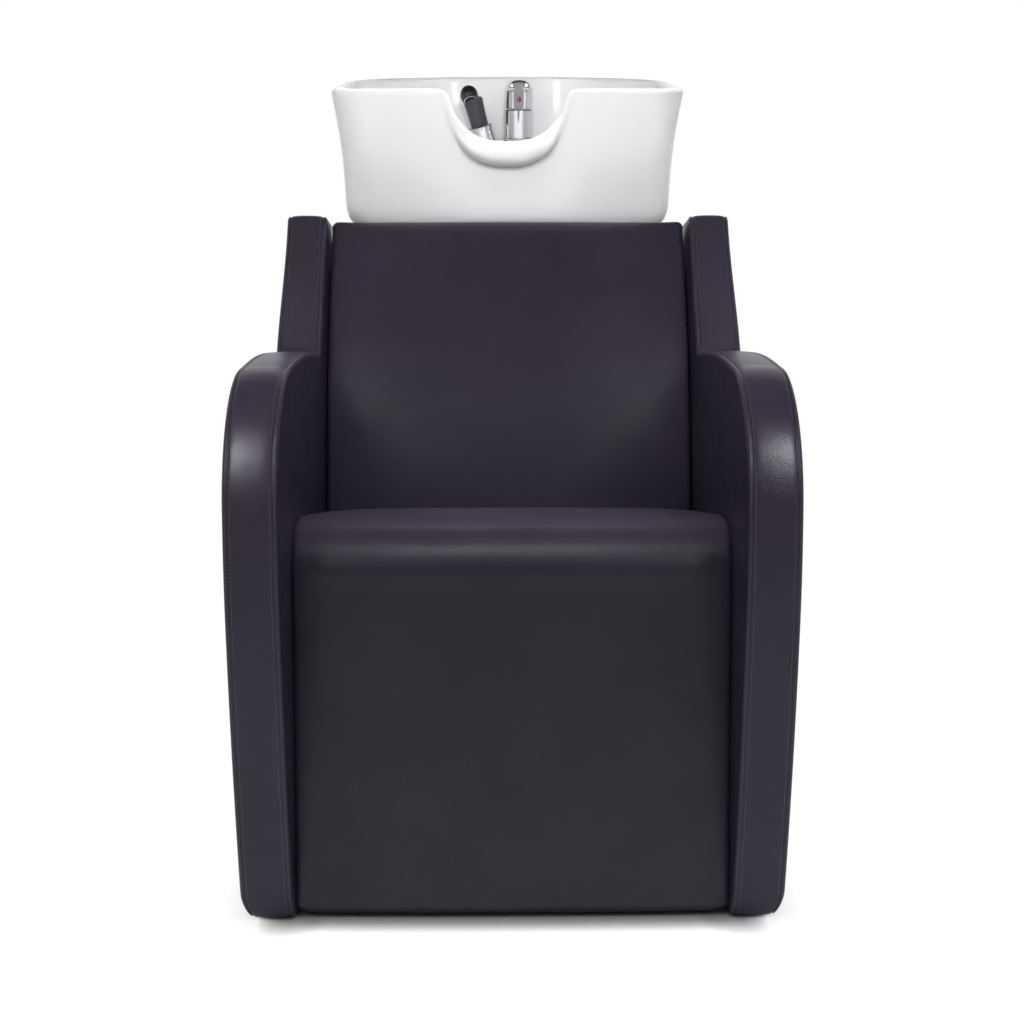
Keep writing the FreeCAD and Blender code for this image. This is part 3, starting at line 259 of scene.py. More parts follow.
def rounded_corner(before, corner, after, radius, steps=6):
    # Points that round one corner of an outline
    u = (Vector(before) - Vector(corner)).normalized()
    v = (Vector(after) - Vector(corner)).normalized()
    half = u.angle(v) / 2
    run = radius / math.tan(half)
    corner = Vector(corner)
    start, finish = corner + u * run, corner + v * run
    centre = corner + (u + v).normalized() * (radius / math.sin(half))
    first, last = start - centre, finish - centre
    turn = first.angle(last)
    points = []
    for k in range(steps + 1):
        t = k / steps
        between = first * math.sin((1 - t) * turn) + last * math.sin(t * turn)
        points.append(centre + between / math.sin(turn))
    return points


def respaced(points, step):
    # A closed outline with evenly spaced points
    loop = points + [points[0]]
    lengths = [0.0]
    for a, b in zip(loop, loop[1:]):
        lengths.append(lengths[-1] + (b - a).length)
    count = max(int(lengths[-1] / step), 8)
    result, k = [], 0
    for i in range(count):
        want = lengths[-1] * i / count
        while lengths[k + 1] < want:
            k += 1
        share = (want - lengths[k]) / max(lengths[k + 1] - lengths[k], 1e-9)
        result.append(loop[k].lerp(loop[k + 1], share))
    return result


def outward(points):
    # Outward unit normals of a clockwise closed outline
    count = len(points)
    normals = []
    for i in range(count):
        along = points[(i + 1) % count] - points[i - 1]
        normals.append(Vector((-along.y, along.x)).normalized())
    return normals


# The two upholstered sides: a crowned band between two covers, with stitched seams
SIDE_FOOT, SIDE_FRONT, SIDE_BROW, SIDE_CREST, WING_ROOT = (27, 2), (0, 380), (15, 530), (195, 651), (548, 606)
FRONT_ROUND, BROW_ROUND, CREST_ROUND, ARM_ROUND, ROOT_ROUND = 2576, 757, 165, 1760, 14
WING_LEAN_DEG, WING_TOP, WING_ROUND = 38, 786, 16
SIDE_REAR, WING_REAR_TOP, WING_REAR_ROUND, FOOT_ROUND = 850, 756, 30, 6


def side_loop():
    # The outline of an arm and its wing, as distance behind the front and height
    lean = math.radians(WING_LEAN_DEG)
    run = WING_ROUND * math.tan(math.radians((90 - WING_LEAN_DEG) / 2))
    top_front = WING_ROOT[0] + (WING_TOP - WING_ROOT[1]) * math.tan(lean)
    wing_low = (top_front - run * math.sin(lean), WING_TOP - run * math.cos(lean))
    wing_high = (top_front + run, WING_TOP)
    rear_top = (SIDE_REAR, WING_REAR_TOP - WING_REAR_ROUND)
    rear_foot = (SIDE_REAR, SIDE_FOOT[1])
    points = arc_points(SIDE_FOOT, SIDE_FRONT, FRONT_ROUND, 60)
    points += arc_points(SIDE_FRONT, SIDE_BROW, BROW_ROUND, 26)
    points += arc_points(SIDE_BROW, SIDE_CREST, CREST_ROUND, 40)
    crown = arc_points(SIDE_CREST, WING_ROOT, ARM_ROUND, 24)
    points += crown[:-2] + rounded_corner(crown[-2], WING_ROOT, wing_low, ROOT_ROUND)
    points += [Vector(wing_low)] + arc_points(wing_low, wing_high, WING_ROUND, 8)
    points += arc_points((SIDE_REAR - WING_REAR_ROUND, WING_REAR_TOP), rear_top, WING_REAR_ROUND, 10)
    points += rounded_corner(rear_top, rear_foot, SIDE_FOOT, FOOT_ROUND)
    points += rounded_corner(rear_foot, SIDE_FOOT, (20, 100), FOOT_ROUND)
    return respaced(points, 6.0)


# Half of the section through a side: distance from its middle, and how far it lies inside the outline
SECTION = [(0, 0.0), (7, 0.05), (14, 0.3), (19, 0.7), (22.5, 1.2), (24.6, 1.9), (25.6, 3.3), (26.6, 2.2),
           (28.0, 1.9), (29.6, 2.5), (31.0, 4.0), (31.8, 6.4), (32.0, 9.0)]
SIDE_MID, SIDE_HALF = 298, 32.0
PUFF, PUFF_REACH = 1.8, 26
ROLL_TOP, ROLL_OUT, ROLL_IN = 36, 12, 4
WING_TAPER, TAPER_FROM, TAPER_BEHIND = 6.0, 596, 430


def side_shift(x, distance, height):
    # The outer lower edge rolls in towards the floor, and the wing tapers in a little towards its top
    t = max(0.0, (ROLL_TOP - height) / (ROLL_TOP - SIDE_FOOT[1]))
    foot = (ROLL_OUT if x > 0 else ROLL_IN) * t * t * abs(x) / SIDE_HALF
    taper = smooth((height - TAPER_FROM) / 170) * smooth((distance - TAPER_BEHIND) / 120)
    return x - foot - WING_TAPER * taper * max(x, 0) / SIDE_HALF


COVER_GRID, COVER_MARGIN = 22, 11


def cover_points(edge):
    # Staggered grid points inside an outline, a little away from its edge
    found = []
    for a in range(0, 860, COVER_GRID):
        for b in range(0, 800, COVER_GRID):
            p = Vector((a + (COVER_GRID / 2 if (b // COVER_GRID) % 2 else 0), b))
            if min((p - q).length for q in edge[::2]) > COVER_MARGIN:
                found.append(p)
    return found


def build_side(hand, sign, loop):
    normals = outward(loop)
    points, rows = [], []

    def add(x, p):
        points.append(spot(sign * (SIDE_MID + side_shift(x, p.x, p.y)), p.x, p.y))
        return len(points) - 1

    stations = [(-x, inset) for x, inset in reversed(SECTION[1:])] + SECTION
    for x, inset in stations:
        rows.append([add(x, p - n * inset) for p, n in zip(loop, normals)])
    faces = bridge(rows)
    edge = [p - n * SECTION[-1][1] for p, n in zip(loop, normals)]
    inside = cover_points(edge)
    count = len(edge)
    around = [(i, (i + 1) % count) for i in range(count)]
    for row, x in ((rows[0], -SIDE_HALF), (rows[-1], SIDE_HALF)):
        found = delaunay_2d_cdt(edge + inside, around, [], 1, 1e-4)
        numbers = []
        for p, origin in zip(found[0], found[3]):
            if origin and origin[0] < count:
                numbers.append(row[origin[0]])
            else:
                reach = min((p - q).length for q in edge[::2])
                puff = PUFF * (1 - math.exp(-reach / PUFF_REACH))
                numbers.append(add(x + math.copysign(puff, x), p))
        faces += [tuple(numbers[i] for i in face) for face in found[2]]
    piece = make_piece(hand + "_side_upholstery", points, faces, "chassis", VINYL)
    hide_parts(hand + "_side_outer_cover", hand + "_side_inner_cover", hand + "_side_band")


STITCH_STEP, STITCH_FLOOR = 4.4, 16
STITCH_ROWS = [(23.0, 1.35), (28.4, 1.95)]
STITCH_SHAPE = [(-1.55, 0.28, -0.25), (-1.0, 0.48, 0.28), (1.0, 0.48, 0.28), (1.55, 0.28, -0.25)]
STITCH_FACES = [(0, 1, 3, 2), (2, 3, 5, 4), (4, 5, 7, 6), (0, 2, 4, 6), (1, 7, 5, 3), (0, 6, 7, 1)]


def build_stitching(hand, sign, loop):
    # Two rows of stitches straddle each seam
    fine = respaced(loop, STITCH_STEP)
    around = [(p, n) for p, n in zip(fine, outward(fine)) if p.y >= STITCH_FLOOR]
    points, faces = [], []
    for (x, inset), face in product(STITCH_ROWS, (-1, 1)):
        for p, n in around:
            tangent = Vector((n.y, -n.x))
            first = len(points)
            for along, half, rise in STITCH_SHAPE:
                q = p - n * inset + tangent * along + n * rise
                middle = SIDE_MID + side_shift(face * x, q.x, q.y)
                points += [spot(sign * (middle + across), q.x, q.y) for across in (-half, half)]
            faces += [tuple(first + k for k in corners) for corners in STITCH_FACES]
    make_piece(hand + "_side_stitching", points, faces, "chassis", THREAD)


SIDE_LOOP = side_loop()
for hand, sign in (("left", -1), ("right", 1)):
    build_side(hand, sign, SIDE_LOOP)
    build_stitching(hand, sign, SIDE_LOOP)


# Padded slabs, whose covers are swollen as cloth
SWELL_FRAMES, SWELL_PRESSURE, SWELL_MASS, SWELL_QUALITY = 20, 4, 0.3, 3


def swell(piece, held, cap):
    # Inflates a cover as cloth, held where it is tacked down, and caps how far it moves
    mesh = piece.data
    start = [v.co.copy() for v in mesh.vertices]
    fixed = [v.index for v in mesh.vertices if held(v.co, v.normal)]
    group = piece.vertex_groups.new(name="tacked")
    group.add(fixed, 1.0, "REPLACE")
    cloth = piece.modifiers.new("swell", "CLOTH")
    cloth.settings.quality = SWELL_QUALITY
    cloth.settings.mass = SWELL_MASS
    cloth.settings.vertex_group_mass = group.name
    cloth.settings.effector_weights.gravity = 0
    cloth.settings.use_pressure = True
    cloth.settings.uniform_pressure_force = SWELL_PRESSURE
    cloth.collision_settings.use_collision = False
    cloth.point_cache.frame_start, cloth.point_cache.frame_end = 1, SWELL_FRAMES
    for number in range(1, SWELL_FRAMES + 1):
        bpy.context.scene.frame_set(number)
    swollen = piece.evaluated_get(bpy.context.evaluated_depsgraph_get()).to_mesh()
    for vertex, old, new in zip(mesh.vertices, start, [v.co.copy() for v in swollen.vertices]):
        move = new - old
        if move.length > 1e-9:
            vertex.co = old + move * (cap * math.tanh(move.length / cap) / move.length)
    piece.modifiers.remove(cloth)
    piece.vertex_groups.remove(group)
    bpy.context.scene.frame_set(1)
    mesh.update()


SLAB_STEP, SLAB_FILL, SLAB_SWELLING, STARTS_SMALLER = 8.0, 0.85, 5, 0.8
CROSS_STEPS, CROSS_SHARE, END_STEPS = 30, 0.86, 6
FOOT_LIFT, FOOT_LIFT_FROM = 7, 40


def slab_stations(half, crown, edge):
    # Stations across a slab: place, sag towards the ends, and how far the rolled ends draw in
    stations, ends = [], []
    reach = half - edge
    for k in range(-CROSS_STEPS, CROSS_STEPS + 1):
        turn = math.pi / 2 * k / CROSS_STEPS * CROSS_SHARE
        across = reach * math.sin(turn) / math.sin(math.pi / 2 * CROSS_SHARE)
        stations.append((across, crown * (1 - math.cos(turn)), 0.0))
    for k in range(1, END_STEPS + 1):
        turn = math.pi / 2 * k / (END_STEPS * 1.1)
        ends.append((reach + edge * math.sin(turn), stations[-1][1], edge * (1 - math.cos(turn))))
    return [(-x, sink, inset) for x, sink, inset in reversed(ends)] + stations + ends


def slab(name, profile, half, crown, edge, nodes, material, top_too):
    # A closed side profile carried across the width, rolled in at both ends
    loop = respaced(profile, SLAB_STEP)
    normals = outward(loop)
    # The cover starts smaller by about what it swells
    for k, n in enumerate(normals):
        faced = smooth((-n.x - 0.90) / 0.08) if top_too else smooth((-n.x - 0.2) / 0.4)
        loop[k] = loop[k] - n * (SLAB_SWELLING * STARTS_SMALLER * faced)
    points, rows = [], []
    for x, sink, inset in slab_stations(half, crown, edge):
        row = []
        for p, n in zip(loop, normals):
            q = p - n * inset + Vector((sink * max(0.0, -n.x), -sink * 0.3 * max(0.0, n.y)))
            low = smooth((FOOT_LIFT_FROM - q.y) / FOOT_LIFT_FROM)
            lift = FOOT_LIFT * low * smooth((abs(x) / half - 0.9) / 0.1)
            points.append(spot(x, q.x, q.y + lift))
            row.append(len(points) - 1)
        rows.append(row)
    faces = bridge(rows)
    faces += [tuple(rows[0]), tuple(reversed(rows[-1]))]
    piece = make_piece(name, points, faces, "chassis", material)

    def tacked(place, normal):
        # The two ends, the underside and the rear are tacked, and a round nose is held by its foam
        if top_too and 0.15 < normal.z < 0.96 and normal.y < 0:
            return True
        return abs(place.x) > (half - edge) * MM or normal.y > 0.3 or normal.z < -0.35

    swell(piece, tacked, SLAB_SWELLING * MM)
    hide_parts(*nodes)


# The waterfall seat: leaning apron, round nose and a top that falls towards the back
BACK_HALF, SEAT_HALF = 263, 265.5
SLOPE, BOARD_SLOPE = math.tan(math.radians(13.9)), math.tan(math.radians(12.5))
APRON = math.radians(9)
APRON_LOW, APRON_THICK, APRON_ROUND, APRON_TOP = 3, 29, 9, 380
NOSE, NOSE_AT, SEAT_HIGH = 75, 167, 466
BEND_AT, BEND_ROUND = 207, 200
BEND_HIGH, BOARD_HIGH = SEAT_HIGH - 4, SEAT_HIGH - 73
SEAT_REAR, BOARD_REAR, BOARD_FRONT = 504, 498, 123


def seat_top(distance):
    return BEND_HIGH - (distance - BEND_AT) * SLOPE


def seat_under(distance):
    return BOARD_HIGH - (distance - BEND_AT) * BOARD_SLOPE


nose_start = (NOSE_AT - NOSE * math.cos(APRON), SEAT_HIGH - NOSE + NOSE * math.sin(APRON))


def apron_at(height, offset=0):
    # A point down the leaning front, with an offset behind it
    return Vector((nose_start[0] + offset - (nose_start[1] - height) * math.tan(APRON), height))


foot_front, foot_rear = apron_at(APRON_LOW), apron_at(APRON_LOW, APRON_THICK)
seat_profile = rounded_corner(foot_rear, foot_front, apron_at(60), APRON_ROUND) + [Vector(nose_start)]
seat_profile += arc_points(nose_start, (NOSE_AT, SEAT_HIGH), NOSE, 24)
seat_profile += arc_points((NOSE_AT, SEAT_HIGH), (BEND_AT, BEND_HIGH), BEND_ROUND, 8)
seat_profile.append(Vector((SEAT_REAR, seat_top(SEAT_REAR))))
seat_profile.append(Vector((SEAT_REAR + 6, seat_top(SEAT_REAR + 12) - 6)))
seat_profile += [Vector((distance, seat_under(distance))) for distance in (BOARD_REAR, BOARD_FRONT)]
seat_profile += [apron_at(APRON_TOP, APRON_THICK)]
seat_profile += rounded_corner(apron_at(60, APRON_THICK), foot_rear, foot_front, APRON_ROUND)
# The seat slab is covered in the darker copy of the vinyl, which paints shade on the seat and apron
slab("seat_upholstery", seat_profile, SEAT_HALF, 6, 8, ["seat_cushion"], SHADED_SEAT_VINYL, True)

# The back pad: upright below, reclined above, with a soft bend between
LOW_LEAN, HIGH_LEAN = math.radians(15), math.radians(39)
BACK_BEND, BEND_RUN, BEND_STEPS = (567, 567), 175, 12
BACK_BELOW, BACK_ABOVE, BACK_THICK = 222, 213, 51


def back_line(offset):
    # Points up the back, parallel to its front face
    low = Vector((math.sin(LOW_LEAN), math.cos(LOW_LEAN)))
    high = Vector((math.sin(HIGH_LEAN), math.cos(HIGH_LEAN)))
    bend = Vector(BACK_BEND)
    shift = offset * math.tan((HIGH_LEAN - LOW_LEAN) / 2)
    corner = bend + Vector((low.y, -low.x)) * offset - low * shift
    bottom = bend + Vector((low.y, -low.x)) * offset - low * (BACK_BELOW / low.y)
    top = bend + Vector((high.y, -high.x)) * offset + high * (BACK_ABOVE / high.y)
    before, after = corner - low * BEND_RUN, corner + high * BEND_RUN
    bent = []
    for k in range(BEND_STEPS + 1):
        t = k / BEND_STEPS
        bent.append(before * (1 - t) ** 2 + corner * 2 * t * (1 - t) + after * t ** 2)
    return [bottom] + bent + [top]


front_line, rear_line = back_line(0), back_line(BACK_THICK)
top_corner = rounded_corner(front_line[-2], front_line[-1], rear_line[-1], 15)
rear_corner = rounded_corner(front_line[-1], rear_line[-1], rear_line[-2], 8)
back_profile = front_line[:-1] + top_corner + rear_corner + list(reversed(rear_line[:-1]))
slab("back_upholstery", back_profile, BACK_HALF, 8, 9, ["back_pad"], VINYL, False)


# The ceramic basin: one flowing skin from the foot, over the rim and lip, down into the bowl
FRONT, REAR = 760, 1240
FOOT_HIGH, WAIST_HIGH, RIM_LOW, RIM_HIGH = 742, 816, 966, 976
DECK, WALL_FOOT, BOWL_TOP, BOWL_FLOOR = 868, 874, 863, 764
WASTE_AT, WASTE_HOLE = 1000, 24
FRONT_COLUMNS, CORNER_COLUMNS, SIDE_COLUMNS, BACK_COLUMNS, REAR_COLUMNS = 34, 8, 10, 16, 8
# Outlines by level: front, rear, half width, front and rear corner rounding, height
OUTSIDE = [
    (FRONT + 70, REAR - 165, 169, 60, 90, FOOT_HIGH), (FRONT + 34, REAR - 142, 211, 60, 110, 748),
    (FRONT + 13, REAR - 122, 236, 56, 130, 760), (FRONT + 4, REAR - 102, 246, 52, 145, 778),
    (FRONT + 2, REAR - 74, 249, 52, 152, WAIST_HIGH), (FRONT + 2, REAR - 34, 251, 48, 176, 860),
    (FRONT + 2, REAR - 12, 256, 46, 196, 907), (FRONT, REAR, 265.5, 44, 212, RIM_LOW),
]
WELL = [
    (FRONT + 18, REAR - 28, 239, 44, 190, 908), (FRONT + 20, REAR - 46, 232, 48, 176, WALL_FOOT),
    (FRONT + 21, REAR - 54, 230, 50, 170, DECK), (FRONT + 22, 1110, 230, 52, 150, DECK),
    (FRONT + 23, 1100, 229, 56, 140, BOWL_TOP), (FRONT + 29, 1090, 222, 60, 126, 806),
    (FRONT + 52, 1072, 197, 66, 100, 776), (FRONT + 100, 1040, 151, 50, 60, BOWL_FLOOR),
]
WELL_MOUTH = (FRONT + 16, REAR - 16, 249.5, 36, 198, RIM_LOW - 9)
NOTCH_DROP, LIP_RUN, LIP_FULL = 75, 66, 0.84
NOTCH = [(0, 0), (14, 0.2), (28, 2), (44, 7), (58, 16), (69, 27), (77, 39), (82, 51), (86, 61), (90, 69),
         (96, 73.6), (104, NOTCH_DROP)]
HOLLOW_DEEP, HOLLOW_FROM, HOLLOW_ASIDE = 19, 892, 50


def ring(front, rear, half, front_round, rear_round):
    # Half of a level outline from the middle of the front to the middle of the rear
    points = []
    flat = half - front_round
    for k in range(FRONT_COLUMNS):
        points.append(Vector((flat * k / FRONT_COLUMNS, front)))
    for k in range(CORNER_COLUMNS):
        turn = math.pi / 2 * k / CORNER_COLUMNS
        x, y = front_round * math.sin(turn), front_round * (1 - math.cos(turn))
        points.append(Vector((flat + x, front + y)))
    start, finish = front + front_round, rear - rear_round
    for k in range(SIDE_COLUMNS):
        points.append(Vector((half, lerp(start, finish, k / SIDE_COLUMNS))))
    for k in range(BACK_COLUMNS):
        turn = math.pi / 2 * k / BACK_COLUMNS
        x, y = rear_round * (1 - math.cos(turn)), rear_round * math.sin(turn)
        points.append(Vector((half - x, finish + y)))
    for k in range(REAR_COLUMNS + 1):
        points.append(Vector(((half - rear_round) * (1 - k / REAR_COLUMNS), rear)))
    return points


def level_at(levels, height):
    # Outline values at a height, through a smooth curve over the given levels
    count = len(levels)
    for k in range(count - 1):
        if height <= levels[k + 1][5] or k == count - 2:
            break
    a, b = levels[max(k - 1, 0)], levels[k]
    c, d = levels[k + 1], levels[min(k + 2, count - 1)]
    t = (height - b[5]) / (c[5] - b[5])
    values = []
    for i in range(5):
        m0 = (c[i] - a[i]) / max(c[5] - a[5], 1) * (c[5] - b[5])
        m1 = (d[i] - b[i]) / max(d[5] - b[5], 1) * (c[5] - b[5])
        values.append((2 * t ** 3 - 3 * t ** 2 + 1) * b[i] + (t ** 3 - 2 * t ** 2 + t) * m0
                      + (-2 * t ** 3 + 3 * t ** 2) * c[i] + (t ** 3 - t ** 2) * m1)
    return values


def notch_line():
    # The edge of the neck notch seen from the front, from its lowest point up to the rim and outwards
    return [Vector((x, RIM_LOW - NOTCH_DROP + up)) for x, up in NOTCH]


def along_path(path, count):
    # Evenly spaced points and unit normals that point away from the opening
    lengths = [0.0]
    for a, b in zip(path, path[1:]):
        lengths.append(lengths[-1] + (b - a).length)
    spots, k = [], 0
    for i in range(count):
        want = lengths[-1] * i / (count - 1)
        while k < len(path) - 2 and lengths[k + 1] < want:
            k += 1
        before, after = path[max(k - 1, 0)], path[min(k + 2, len(path) - 1)]
        a, b = path[k], path[k + 1]
        m0, m1 = (b - before) / 2, (after - a) / 2
        if k == 0:
            m0 = b - a
        t = (want - lengths[k]) / (lengths[k + 1] - lengths[k])
        spots.append(a * (2 * t ** 3 - 3 * t ** 2 + 1) + m0 * (t ** 3 - 2 * t ** 2 + t)
                     + b * (-2 * t ** 3 + 3 * t ** 2) + m1 * (t ** 3 - t ** 2))
    normals = []
    for i in range(count):
        step = spots[min(i + 1, count - 1)] - spots[max(i - 1, 0)]
        normals.append(Vector((step.y, -step.x)).normalized())
    normals[0] = Vector((0, -1))
    return spots, normals


# Sections over the edge: how far below it, and how far out
RIM_CURL = [(8.0, 0.0), (4.2, -0.8), (1.6, -2.8), (0.3, -5.4), (0.0, -7.8), (0.4, -10.4), (1.8, -13.0),
            (4.6, -15.0), (9.0, -16.0)]
LIP_CURL = [(48, -1), (46.5, 3), (45.5, 9), (42, 16), (36, 21.5), (28, 24), (19, 22.5), (10.5, 17), (4, 8.5),
            (0.8, -1.5), (0.6, -8), (3.0, -13.0), (9.0, -16.0)]


def resample(curl, count):
    # A curl with another number of points
    out = []
    for i in range(count):
        at = (len(curl) - 1) * i / (count - 1)
        k = min(int(at), len(curl) - 2)
        out.append(tuple(lerp(curl[k][m], curl[k + 1][m], at - k) for m in (0, 1)))
    return out


RIM_CURL = resample(RIM_CURL, len(LIP_CURL))
NOTCH_COLUMNS = 24


def rim_height(distance):
    return RIM_LOW + (RIM_HIGH - RIM_LOW) * (distance - FRONT) / (REAR - FRONT)


def basin_columns():
    # Each column runs from the hole in the foot, up the outside, over the edge and down the inside
    edge, away = along_path(notch_line(), NOTCH_COLUMNS)
    top = ring(*OUTSIDE[-1][:5])
    flat = OUTSIDE[-1][2] - OUTSIDE[-1][3]
    columns = []
    total = len(top)
    for j in range(total):
        front_share = j / FRONT_COLUMNS if j < FRONT_COLUMNS else None
        lip = 0.0
        if j < NOTCH_COLUMNS:
            e, n = edge[j], away[j]
            lip = LIP_FULL * max(0.0, 1 - (e.y - (RIM_LOW - NOTCH_DROP)) / LIP_RUN) ** 2.0
            point, down, out = Vector((e.x, FRONT, e.y)), Vector((n.x, 0, n.y)), Vector((0, -1, 0))
        elif j < FRONT_COLUMNS:
            share = (j - NOTCH_COLUMNS + 1) / (FRONT_COLUMNS - NOTCH_COLUMNS + 1)
            point = Vector((lerp(edge[-1].x, flat, share), FRONT, RIM_LOW))
            down, out = Vector((0, 0, -1)), Vector((0, -1, 0))
        else:
            before, after = top[j - 1], top[min(j + 1, total - 1)]
            along = after - before
            out = Vector((along.y, -along.x, 0)).normalized()
            if j == total - 1:
                out = Vector((0, 1, 0))
            point = Vector((top[j].x, top[j].y, rim_height(top[j].y)))
            down = Vector((0, 0, -1))
        curl = []
        for (a0, b0), (a1, b1) in zip(RIM_CURL, LIP_CURL):
            a, b = lerp(a0, a1, lip), lerp(b0, b1, lip)
            curl.append(point + down * a + out * b)
        columns.append((front_share, curl, j))
    return columns


def ring_spot(values, j, share, x_top, blend):
    # A point of an outline for one column; front columns slide towards the notch near the top
    if share is None:
        return ring(*values)[j]
    flat = values[2] - values[3]
    return Vector((lerp(flat * share, x_top, blend), values[0]))


def hollow(j, p, z):
    # The lower front falls back a little on both sides of the neck rest
    if j >= FRONT_COLUMNS + CORNER_COLUMNS:
        return 0.0
    turn = max(j - FRONT_COLUMNS, 0) / CORNER_COLUMNS
    aside = smooth((p.x - HOLLOW_ASIDE) / 130)
    return HOLLOW_DEEP * smooth((HOLLOW_FROM - z) / 130) * aside * (1 - smooth(turn))


def build_basin():
    half_rows = []
    floor_ring, inner_floor = ring(*OUTSIDE[0][:5]), ring(*WELL[-1][:5])
    bowl = list(reversed(WELL[4:]))
    for share, curl, j in basin_columns():
        column = []
        spoke = Vector((floor_ring[j].x, floor_ring[j].y - WASTE_AT))
        spoke.normalize()
        hole = Vector((spoke.x * WASTE_HOLE, WASTE_AT + spoke.y * WASTE_HOLE))
        for t in (0.0, 0.35, 0.7):
            p = hole.lerp(floor_ring[j], t)
            column.append((p.x, p.y, FOOT_HIGH))
        start, last = curl[0], curl[-1]
        steps = 12
        for k in range(steps + 1):
            z = lerp(FOOT_HIGH, WAIST_HIGH, k / steps)
            p = ring_spot(level_at(OUTSIDE, z), j, share, start.x, 0)
            column.append((p.x, p.y + hollow(j, p, z), z))
        steps = 9
        for k in range(1, steps):
            q = k / steps
            z = lerp(WAIST_HIGH, start.z, q)
            wall = lerp(WAIST_HIGH, RIM_LOW, q) if share is None else z
            p = ring_spot(level_at(OUTSIDE, wall), j, share, start.x, smooth(q))
            column.append((p.x, p.y + hollow(j, p, z), z))
        column += [tuple(p) for p in curl]
        steps = 7
        for k in range(1, steps + 1):
            q = k / steps
            z = lerp(last.z, WALL_FOOT, q)
            wall = lerp(WELL_MOUTH[5], WALL_FOOT, q) if share is None else max(z, WALL_FOOT)
            values = level_at([WELL[1], WELL[0], WELL_MOUTH], wall)
            p = ring_spot(values, j, share, last.x, 1 - smooth(q))
            column.append((p.x, p.y, z))
        for values in WELL[2:5]:
            p = ring_spot(values[:5], j, share, last.x, 0)
            column.append((p.x, p.y, values[5]))
        steps = 12
        for k in range(1, steps + 1):
            z = lerp(BOWL_TOP, BOWL_FLOOR, 1 - (1 - k / steps) ** 1.4)
            p = ring_spot(level_at(bowl, z), j, share, last.x, 0)
            column.append((p.x, p.y, z))
        for t in (0.35, 0.7, 1.0):
            p = inner_floor[j].lerp(hole, t)
            column.append((p.x, p.y, BOWL_FLOOR))
        half_rows.append(column)
    loop = half_rows + [[(-x, y, z) for x, y, z in column] for column in reversed(half_rows[1:-1])]
    points, rows = [], []
    for column in loop:
        row = []
        for x, y, z in column:
            points.append(spot(x, y, z))
            row.append(len(points) - 1)
        rows.append(row)
    rows.append(rows[0])
    faces = bridge(rows)
    piece = make_piece("basin_glazed", points, faces, "basin", CERAMIC)
    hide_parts("basin_bowl")
    finer = piece.modifiers.new("finer", "SUBSURF")
    finer.levels = finer.render_levels = 1


build_basin()

# Tap lever: a round cap with a flat front under a domed tongue that reaches towards the seat
TAP_X, TAP_D = 22, 1150
CAP_LOW, CAP_MIDDLE, CAP_ROUND, CAP_FLAT = 925.5, 940, 24, 21.5
CAP_HOLLOW, CAP_CEILING, CAP_RELIEF, RELIEF_FROM = 16.5, 955, 0.5, 3
TONGUE_LOW, TONGUE_RISE, TONGUE_HALF, TONGUE_BELLY = 958, 16, 19.5, 1.6
# Cap rings, down the wall of the hollow and up the outside: height, radius, whether the rear is raised
CAP_RINGS = [
    (CAP_CEILING, CAP_HOLLOW - 3, 0), (CAP_CEILING, CAP_HOLLOW, 0), (CAP_MIDDLE, CAP_HOLLOW, 0),
    (CAP_LOW + 1, CAP_HOLLOW, 1), (CAP_LOW, CAP_HOLLOW + 1, 1), (CAP_LOW, CAP_ROUND - 1, 1),
    (CAP_LOW + 0.6, CAP_ROUND - 0.2, 1), (CAP_LOW + 1.6, CAP_ROUND, 1), (CAP_MIDDLE, CAP_ROUND, 0),
    (952, CAP_ROUND, 0), (958, CAP_ROUND - 0.4, 0), (962, CAP_ROUND - 1.6, 0), (965, CAP_ROUND - 4.5, 0),
    (967, CAP_ROUND - 9, 0), (968, CAP_ROUND - 15, 0)]
# Tongue stations: place behind the axis, share of the width, share of the height
TONGUE = [(12, 0.55, 0.5), (9, 0.84, 0.80), (3, 0.96, 0.95), (-12, 1.0, 1.0), (-30, 1.0, 1.0),
          (-44, 1.0, 0.98), (-52, 0.99, 0.95), (-55.5, 0.965, 0.90), (-57.2, 0.92, 0.82), (-58, 0.85, 0.72)]


def turns(count):
    return [2 * math.pi * k / count for k in range(count)]


def rings_to_piece(name, rings, body, material, nodes):
    # A closed skin through equal rings, capped at both ends by a fan
    points, rows = [], []
    for loop in rings:
        rows.append(list(range(len(points), len(points) + len(loop))))
        points += loop
    faces = bridge(rows)
    for row, loop in ((rows[0], rings[0]), (rows[-1], rings[-1])):
        middle = sum(loop, Vector((0, 0, 0))) / len(loop)
        points.append(middle)
        faces += [(a, b, len(points) - 1) for a, b in zip(row, row[1:] + row[:1])]
    piece = make_piece(name, points, faces, body, material, sharp=40)
    if nodes:
        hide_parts(*nodes)


def build_lever():
    # The cap is hollow over the carrier, and its rear edge rises so that it clears the body when lifted
    rings = []
    for z, radius, rises in CAP_RINGS:
        loop = []
        for turn in turns(64):
            x, y = radius * math.sin(turn), max(-radius * math.cos(turn), -CAP_FLAT)
            relief = rises * max(0.0, CAP_RELIEF * (y - RELIEF_FROM))
            loop.append(spot(TAP_X + x, TAP_D + y, z + relief))
        rings.append(loop)
    rings_to_piece("tap_lever_cap", rings, "tap_handle", CHROME, ["tap_lever"])
    rings = []
    for y, wide, high in TONGUE:
        loop = []
        for turn in turns(64):
            c, s = math.cos(turn), math.sin(turn)
            x = TONGUE_HALF * wide * math.copysign(abs(c) ** 0.85, c)
            up = TONGUE_RISE * high * abs(s) ** 0.9 if s > 0 else -TONGUE_BELLY * wide * abs(s) ** 0.5
            loop.append(spot(TAP_X + x, TAP_D + y, TONGUE_LOW + up))
        rings.append(loop)
    rings_to_piece("tap_lever_tongue", rings, "tap_handle", CHROME, [])


build_lever()


